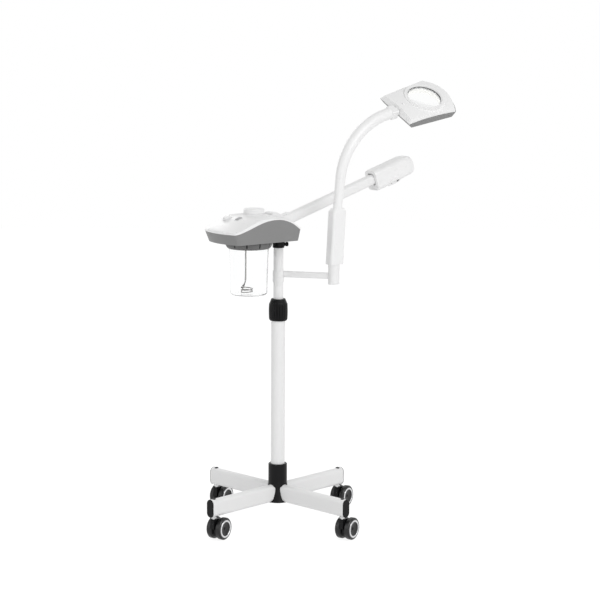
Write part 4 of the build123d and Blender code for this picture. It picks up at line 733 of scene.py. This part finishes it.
class STEAMER_OT_head(bpy.types.Operator):
    """Make the head's shells, socket and controls"""

    bl_idname = "steamer.head"
    bl_label = "Steam head"

    def execute(self, context):
        sizes = context.scene.steamer_head
        small = sizes.small_edge
        refine_node("head_base", "head_lower_shell", SHELL_EDGE, 3)
        refine_node("head_cover", "head_upper_shell", SHELL_EDGE, 3)
        refine_node("head_socket", "mast_socket", small)
        refine_node("head_screw", "head_thumbscrew", small)
        refine_node("filler_cap", "filler_lid", small, 3)
        self.add_dial(sizes)
        refine_node("power_switch", "power_rocker", small * 0.6, slot="seal_rubber")
        refine_node("power_inlet", "mains_inlet", small * 0.6)
        refine_node("steam_duct", "inner_steam_pipe", 0.0)
        return {"FINISHED"}

    def add_dial(self, sizes):
        """The timer's dial, kept low over the cover."""
        centre, way = pin("timer_knob_turn")
        seat = sizes.dial_seat
        shape = copy_node("timer_knob")
        top = max((vertex.co - centre).dot(way) for vertex in shape.verts)
        lowered = 1 - sizes.dial_height / (top - seat)
        for vertex in shape.verts:
            level = (vertex.co - centre).dot(way)
            if level > seat:
                vertex.co -= way * (level - seat) * lowered
        round_edges(shape, sizes.small_edge)
        replace_node(shape, "timer_knob", "timer_dial")


class STEAMER_OT_jar(bpy.types.Operator):
    """Make the jar, its collar and the heater"""

    bl_idname = "steamer.jar"
    bl_label = "Jar and heater"

    # The heater: turns, steps, and the lengths of its leads and bends.
    TURNS = 2
    STEPS_PER_TURN = 28
    STEPS_PER_BEND = 12
    ROD_SIDES = 16
    KNEE_HEIGHT = 0.034
    STRAIGHT_RUN = 0.03
    BEND_PULL = 0.014
    LEAD_SETTLE = 0.001
    LEAD_STEP = 0.004
    LEADS_APART = Vector((0.001, 0.009, 0))
    # The dark strips in the collar's finger slots: painted shade for the slots' depth.
    STRIP_DEEP = 0.0014
    STRIP_WIDE = 0.0033
    STRIP_LIFT = 0.0053
    STRIP_SHORTER = 0.0056
    STRIP_EDGE = 0.0003

    def execute(self, context):
        small = context.scene.steamer_head.small_edge
        # The collar's darker finish is painted shade from the head above it.
        refine_node("jar_collar", "jar_bayonet_ring", small, finish="collar_grey")
        refine_node("jar", "water_jar", small, over=40.0)
        refine_node("jar_seal", "jar_gasket", small * 0.5, 1)
        refine_node("heater_plate", "heater_disc", small)
        self.add_heater(context.scene.steamer_jar)
        # Painted shade in the collar's finger slots.
        self.add_slot_shade(context.scene.steamer_jar)
        return {"FINISHED"}

    def add_heater(self, sizes):
        """A wound heating rod: down from the plate, round its turns and back up behind itself."""
        centre, _ = pin("jar_collar_turn")
        low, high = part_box("heater")
        rod = sizes.rod_radius
        middle = Vector((centre.x - sizes.coil_shift, centre.y, low.z + rod))
        coil = []
        for step in range(self.STEPS_PER_TURN * self.TURNS + 1):
            done = step / self.STEPS_PER_TURN
            angle = math.pi + 2 * math.pi * done
            outwards = Vector((math.cos(angle), math.sin(angle), 0))
            coil.append(middle + outwards * sizes.coil_radius + UP * sizes.coil_pitch * done)
        lead = Vector((centre.x - sizes.lead_shift, centre.y - self.LEAD_STEP, high.z))
        back = lead + self.LEADS_APART
        knee = low.z + self.KNEE_HEIGHT
        down = [
            lead,
            Vector((lead.x, lead.y, knee + self.STRAIGHT_RUN)),
            Vector((lead.x - self.LEAD_SETTLE, lead.y, knee)),
        ]
        top = Vector((back.x, back.y, knee + self.LEAD_STEP))
        drop = UP * self.BEND_PULL
        away = Vector((0, self.BEND_PULL, 0))
        rise = UP * self.LEAD_STEP
        entry = interpolate_bezier(
            down[-1], down[-1] - drop, coil[0] + away + rise, coil[0], self.STEPS_PER_BEND
        )
        leave = interpolate_bezier(
            coil[-1], coil[-1] - away + rise, top - drop, top, self.STEPS_PER_BEND
        )
        path = down[:-1] + entry[:-1] + coil + leave[1:] + [Vector((back.x, back.y, high.z))]
        stations = []
        across = FAR_SIDE
        for before, point, after in zip(path[:1] + path, path, path[1:] + path[-1:]):
            place = frame_at(point, across, after - before)
            across = place.col[0].xyz
            stations.append((place, rod))
        shape = sweep_rings(stations, self.ROD_SIDES)
        put_piece(shape, "heater_winding", BODY_OF["heater"], "steel", ("heater",), "heater_sheath")

    def add_slot_shade(self, sizes):
        """Dark strips set into the collar's finger slots as painted shade."""
        centre, _ = pin("jar_collar_turn")
        low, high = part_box("jar_collar")
        shape = bmesh.new()
        middle = Vector((centre.x, centre.y, (low.z + self.STRIP_LIFT + high.z) / 2))
        tall = high.z - low.z - self.STRIP_SHORTER
        scale = Matrix.Diagonal((self.STRIP_DEEP, self.STRIP_WIDE, tall, 1))
        for index in range(sizes.slot_count):
            angle = math.atan2(BACKWARDS.y, BACKWARDS.x) + 2 * math.pi * index / sizes.slot_count
            outwards = Vector((math.cos(angle), math.sin(angle), 0))
            place = frame_at(middle + outwards * sizes.slot_reach, outwards, UP)
            bmesh.ops.create_cube(shape, size=1.0, matrix=place @ scale)
        round_edges(shape, self.STRIP_EDGE)
        put_piece(shape, "collar_grip_strips", "jar_collar", "black_plastic")


# ---------------------------------------------------------------------------
# Steam arm
# ---------------------------------------------------------------------------


class STEAMER_OT_arm(bpy.types.Operator):
    """Make the turret, arm tube and nozzle"""

    bl_idname = "steamer.arm"
    bl_label = "Steam arm"

    TURRET_EDGE = 0.002
    # The throat's rings from the rear edge inwards: half its width and half its height.
    THROAT_OUTSIDE = (0.0146, 0.0187)
    THROAT_LIP = (0.014, 0.0174)
    THROAT_INSIDE = (0.0135, 0.0149)
    THROAT_INSET = 0.0009
    THROAT_END = 0.0015
    THROAT_WALL = 0.0006
    THROAT_SQUARENESS = 5
    THROAT_SIDES = 64
    # Each dark cup's place along the arm from the steam hole, and its radius: the cups are painted shade for the
    # holes' depth.
    BORE_SHADE_CUPS = {"steam_bore": (0.0, 0.0042), "vent_bore": (-0.024, 0.0017)}
    BORE_DEPTH = 0.0035
    BORE_WALL = 0.0005
    BORE_GAP = 0.0002

    def execute(self, context):
        small = context.scene.steamer_head.small_edge
        refine_node("arm_turret", "arm_turret_cap", self.TURRET_EDGE, 3)
        refine_node("arm_tube", "steam_arm_tube", small * 0.5)
        sizes = context.scene.steamer_nozzle
        pivot, _ = pin("nozzle_tilt")
        for node, name in (("nozzle_cover", "nozzle_upper_shell"), ("nozzle_base", "nozzle_lower_shell")):
            shape = copy_node(node)
            self.open_rear(shape, pivot, sizes)
            self.blunt_front(shape, pivot, sizes)
            round_edges(shape, small)
            replace_node(shape, node, name)
        boss = copy_node("steam_outlet")
        bmesh.ops.translate(boss, vec=-OUTLET_WAY * sizes.boss_sink, verts=boss.verts)
        round_edges(boss, small)
        replace_node(boss, "steam_outlet", "steam_outlet_boss")
        self.add_throat(pivot, sizes)
        # Dark cups in the outlet's holes as painted shade.
        self.add_bore_shade(sizes)
        return {"FINISHED"}

    def open_rear(self, shape, pivot, sizes):
        """Cuts a shell square to the arm behind the tilt pin and closes the cut wall."""
        cut = bmesh.ops.bisect_plane(
            shape, geom=shape.verts[:] + shape.edges[:] + shape.faces[:],
            plane_co=pivot - ARM_OUT * sizes.rear_reach, plane_no=-ARM_OUT, clear_outer=True,
        )
        rim = [item for item in cut["geom_cut"] if isinstance(item, bmesh.types.BMEdge)]
        bmesh.ops.triangle_fill(shape, use_beauty=True, edges=rim)
        make_whole(shape)

    def blunt_front(self, shape, pivot, sizes):
        """Fills a shell's front end out to a blunter, taller nose."""
        for vertex in shape.verts:
            offset = vertex.co - pivot
            run, rise = offset.dot(ARM_OUT), offset.dot(ARM_UP)
            done = max(0.0, run - sizes.blunt_from) / sizes.blunt_run
            vertex.co += ARM_UP * rise * sizes.blunt_height * done**2
            vertex.co -= ARM_OUT * sizes.blunt_back * done**2

    def add_throat(self, pivot, sizes):
        """A funnel from the shells' rear edge in to the arm, wide enough for the tilt."""
        shape = bmesh.new()
        rear = sizes.rear_reach - self.THROAT_INSET
        inside = [half + sizes.throat_gap for half in self.THROAT_INSIDE]
        loops = []
        for halves, back in (
            (self.THROAT_OUTSIDE, rear), (self.THROAT_LIP, rear), (inside, self.THROAT_END),
        ):
            ring = bmesh.ops.create_circle(shape, segments=self.THROAT_SIDES, radius=1.0)["verts"]
            for vertex in ring:
                x, y = vertex.co.xy
                power_sum = abs(x) ** self.THROAT_SQUARENESS + abs(y) ** self.THROAT_SQUARENESS
                full = power_sum ** (1 / self.THROAT_SQUARENESS)
                vertex.co = Vector((x / full * halves[0], y / full * halves[1], -back))
            loops.append([edge for edge in shape.edges if all(v in ring for v in edge.verts)])
        for near, far in zip(loops, loops[1:]):
            bmesh.ops.bridge_loops(shape, edges=near + far)
        bmesh.ops.recalc_face_normals(shape, faces=shape.faces)
        bmesh.ops.solidify(shape, geom=shape.faces[:], thickness=self.THROAT_WALL)
        bmesh.ops.recalc_face_normals(shape, faces=shape.faces)
        place = frame_at(pivot, FAR_SIDE, ARM_OUT)
        bmesh.ops.transform(shape, matrix=place, verts=shape.verts)
        put_piece(shape, "nozzle_throat", "nozzle", "white_plastic")

    def add_bore_shade(self, sizes):
        """Dark cups inside the steam hole and the small hole beside it, as painted shade for their depth."""
        _, face = levels("steam_outlet", OUTLET_MOUTH, OUTLET_WAY)
        mouth = OUTLET_MOUTH + OUTLET_WAY * (face - sizes.boss_sink)
        gap, depth, floor = self.BORE_GAP, self.BORE_DEPTH, self.BORE_DEPTH - self.BORE_WALL
        for name, (shift, radius) in self.BORE_SHADE_CUPS.items():
            inner = radius - self.BORE_WALL
            profile = [
                (gap, -depth), (radius, -depth), (radius, -gap),
                (inner, -gap), (inner, -floor), (gap, -floor),
            ]
            place = frame_at(mouth + ARM_OUT * shift, ARM_OUT, OUTLET_WAY)
            lathe(profile, place, name, "nozzle", "black_plastic")


# ---------------------------------------------------------------------------
# Lamp bracket and neck
# ---------------------------------------------------------------------------


class STEAMER_OT_bracket(bpy.types.Operator):
    """Make the stop collar, its screw, the lamp bracket and the neck's pin and sleeve"""

    bl_idname = "steamer.bracket"
    bl_label = "Lamp bracket"

    def execute(self, context):
        small = context.scene.steamer_head.small_edge
        refine_node("stop_collar", "bracket_stop_ring", small)
        refine_node("collar_screw", "stop_ring_screw", small)
        refine_node("lamp_bracket", "bracket_bar", small)
        refine_node("neck_pin", "neck_pivot_pin", small * 0.5, 1)
        refine_node("neck_sleeve", "neck_grip_sleeve", SHELL_EDGE, 3)
        return {"FINISHED"}


class STEAMER_OT_neck(bpy.types.Operator):
    """Make the flexible neck's smooth skin, one length over each of its joints"""

    bl_idname = "steamer.neck"
    bl_label = "Neck"

    BODIES = ("sleeve", "neck_1", "neck_2", "neck_3", "neck_4", "connector")
    STEPS = 14
    SIDES = 48
    SKIN_SMOOTH_ANGLE = math.radians(40)
    # How far the skin starts before the first joint and ends past the last.
    FOOT_REACH = 0.002
    HEAD_REACH = 0.0072
    # The share of the bow over which the skin widens.
    WIDENING = 0.62
    # How far from its joint each length's bend points lie, and where they lie on the first and last lengths; the
    # points are worked out but not used, so the skin does not bend.
    BEND_REACH = 0.03
    END_BEND_REACH = 0.012
    FIRST_BEND_START = 0.001
    LAST_BEND_END = 0.006

    def execute(self, context):
        sizes = context.scene.steamer_neck
        half = sizes.length_run / 2
        last = len(self.BODIES) - 2
        for index in range(last + 1):
            middle = index * sizes.length_run
            start = middle - (half if index else self.FOOT_REACH)
            end = middle + (half if index < last else self.HEAD_REACH)
            skin = self.add_length(f"neck_skin_{index + 1}", start, end, sizes)
            reach = self.BEND_REACH if 0 < index < last else self.END_BEND_REACH
            bend_start = max(0.0, middle - reach) if index else -self.FIRST_BEND_START
            bend_end = middle + (reach if index < last else self.LAST_BEND_END)
            self.place(bend_start, sizes)[0]
            self.place(bend_end, sizes)[0]
            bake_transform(skin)
            if index < last:
                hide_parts(f"neck_link_{index + 1}")
        return {"FINISHED"}

    def heading(self, lean):
        """The direction that leans back from upright by an angle."""
        return BACKWARDS * math.sin(lean) + UP * math.cos(lean)

    def place(self, run, sizes):
        """The point, direction and radius of the bow at a run along it."""
        point = pin("neck_bend")[0]
        lean, left = sizes.lean, run
        bends = (0.0, sizes.second_bend, sizes.third_bend, sizes.fourth_bend)
        for bend in bends:
            part = min(left, sizes.length_run)
            half_turn = bend * part / sizes.length_run / 2
            chord = part * math.sin(half_turn) / half_turn if half_turn else part
            point = point + self.heading(lean + half_turn) * chord
            lean += 2 * half_turn
            left -= part
        way = self.heading(lean)
        point = point + way * left
        done = min(1.0, max(0.0, run / (len(bends) * sizes.length_run)))
        eased = min(1.0, done / self.WIDENING)
        eased = eased * eased * (3 - 2 * eased)
        return point, way, sizes.foot_radius + (sizes.head_radius - sizes.foot_radius) * eased

    def add_length(self, name, start, end, sizes):
        """One length of skin, swept along the bow round its joint."""
        stations = []
        for step in range(self.STEPS + 1):
            run = start + (end - start) * step / self.STEPS
            point, way, radius = self.place(run, sizes)
            stations.append((frame_at(point, FAR_SIDE, way), radius))
        shape = sweep_rings(stations, self.SIDES)
        skin = new_object(shape, name, FINISHES["white_plastic"], self.SKIN_SMOOTH_ANGLE)
        return skin


# ---------------------------------------------------------------------------
# Lamp head
# ---------------------------------------------------------------------------


class STEAMER_OT_lamp(bpy.types.Operator):
    """Make the lamp's connector, shells, lens, ring, light and switch"""

    bl_idname = "steamer.lamp"
    bl_label = "Lamp"

    KNUCKLE_EDGE = 0.0015
    LOWER_EDGE = 0.001
    # Room round the lens, the gap between stacked rings, and the bezel's rounding and reach down.
    FIT = 0.0004
    GAP = 0.0003
    BEZEL_ROUNDING = 0.001
    BEZEL_DROP = 0.0045
    # The dark ring's lower and upper edge over the lens's rim: a painted shade line for the gap between bezel and
    # lens.
    SHADE_RING_LOW = 0.0005
    SHADE_RING_HIGH = 0.0018
    # The frosted cone's lip at the lamp's underside, and its wall.
    CONE_RIM = 0.003
    CONE_FOOT_IN = 0.0022
    CONE_CORNER = 0.0006
    CONE_WALL = 0.0016

    def execute(self, context):
        small = context.scene.steamer_head.small_edge
        refine_node("lamp_connector", "lamp_knuckle", self.KNUCKLE_EDGE, 3)
        refine_node("lamp_base", "lamp_lower_shell", self.LOWER_EDGE, 3)
        refine_node("lamp_cover", "lamp_upper_shell", SHELL_EDGE, 3)
        refine_node("lens", "magnifying_lens", small, over=40.0)
        refine_node("lamp_switch", "lamp_push_button", small, slot="white_plastic")
        self.add_lens_rings(context.scene.steamer_lamp)
        return {"FINISHED"}

    def add_lens_rings(self, sizes):
        """The lens's bezel, a dark ring of painted shade at the gap inside it, and the frosted light round the
        lens's underside.
        """
        face = -pin("lamp_switch_press")[1]
        low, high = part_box("lens_ring")
        centre = (low + high) / 2
        place = frame_at(centre, NEAR_SIDE, face)
        seat, _ = levels("lens", centre, face)
        _, top = levels("lens_ring", centre, face)
        bottom, _ = levels("lamp_light", centre, face)
        foot = seat - self.BEZEL_DROP

        hole = sizes.lens_radius
        inner, outer = hole - sizes.seat_lip, hole + sizes.bezel_wall
        bezel = [
            (hole + self.FIT, top - self.FIT), (hole + self.BEZEL_ROUNDING, top),
            (outer - self.BEZEL_ROUNDING, top), (outer, top - self.BEZEL_ROUNDING),
            (outer, foot), (inner, foot), (inner, seat - self.GAP), (hole + self.FIT, seat - self.GAP),
        ]
        lathe(bezel, place, "lens_bezel", "lamp", SLOT_OF["lens_ring"], ("lens_ring",))

        edge = seat + sizes.lens_edge
        # A thin dark ring over the lens's rim: painted shade for the gap inside the bezel.
        shade_ring = [
            (hole - self.FIT, edge + self.SHADE_RING_LOW), (hole + self.GAP, edge + self.SHADE_RING_LOW),
            (hole + self.GAP, edge + self.SHADE_RING_HIGH), (hole - self.GAP, edge + self.SHADE_RING_HIGH),
        ]
        lathe(shade_ring, place, "lens_gasket", "lamp", "dark_plastic")

        start, rim = inner + self.FIT, sizes.light_radius
        cone = [
            (start, foot - self.GAP), (rim - self.CONE_RIM, bottom + self.BEZEL_ROUNDING),
            (rim - self.CONE_FOOT_IN, bottom), (rim - self.FIT, bottom),
            (rim, bottom + self.CONE_CORNER), (start + self.CONE_WALL, foot - self.GAP),
        ]
        lathe(cone, place, "lamp_light_ring", "lamp", SLOT_OF["lamp_light"], ("lamp_light",))


OPERATORS = (
    STEAMER_OT_stage,
    STEAMER_OT_base,
    STEAMER_OT_castors,
    STEAMER_OT_column,
    STEAMER_OT_head,
    STEAMER_OT_jar,
    STEAMER_OT_arm,
    STEAMER_OT_bracket,
    STEAMER_OT_neck,
    STEAMER_OT_lamp,
)


class STEAMER_PT_panel(bpy.types.Panel):
    """Lists the steamer's pieces in the sidebar"""

    bl_idname = "STEAMER_PT_panel"
    bl_label = "Facial Steamer"
    bl_space_type = "VIEW_3D"
    bl_region_type = "UI"
    bl_category = "Steamer"

    def draw(self, context):
        for operator in OPERATORS:
            self.layout.operator(operator.bl_idname)
        for name, group in SETTINGS.items():
            box = self.layout.box()
            for field in group.__annotations__:
                box.prop(getattr(context.scene, name), field)


def register():
    """Registers every class and hangs the settings on the scene."""
    for group in SETTINGS.values():
        bpy.utils.register_class(group)
    for operator in OPERATORS:
        bpy.utils.register_class(operator)
    bpy.utils.register_class(STEAMER_PT_panel)
    for name, group in SETTINGS.items():
        setattr(bpy.types.Scene, name, bpy.props.PointerProperty(type=group))


def unregister():
    """Takes back what register did."""
    for name in SETTINGS:
        delattr(bpy.types.Scene, name)
    bpy.utils.unregister_class(STEAMER_PT_panel)
    for operator in reversed(OPERATORS):
        bpy.utils.unregister_class(operator)
    for group in reversed(list(SETTINGS.values())):
        bpy.utils.unregister_class(group)


def main():
    """Builds the whole steamer."""
    register()
    make_finishes(bpy.context.scene.steamer_finish)
    for operator in OPERATORS:
        group, name = operator.bl_idname.split(".")
        getattr(getattr(bpy.ops, group), name)()


if __name__ == "__main__":
    main()
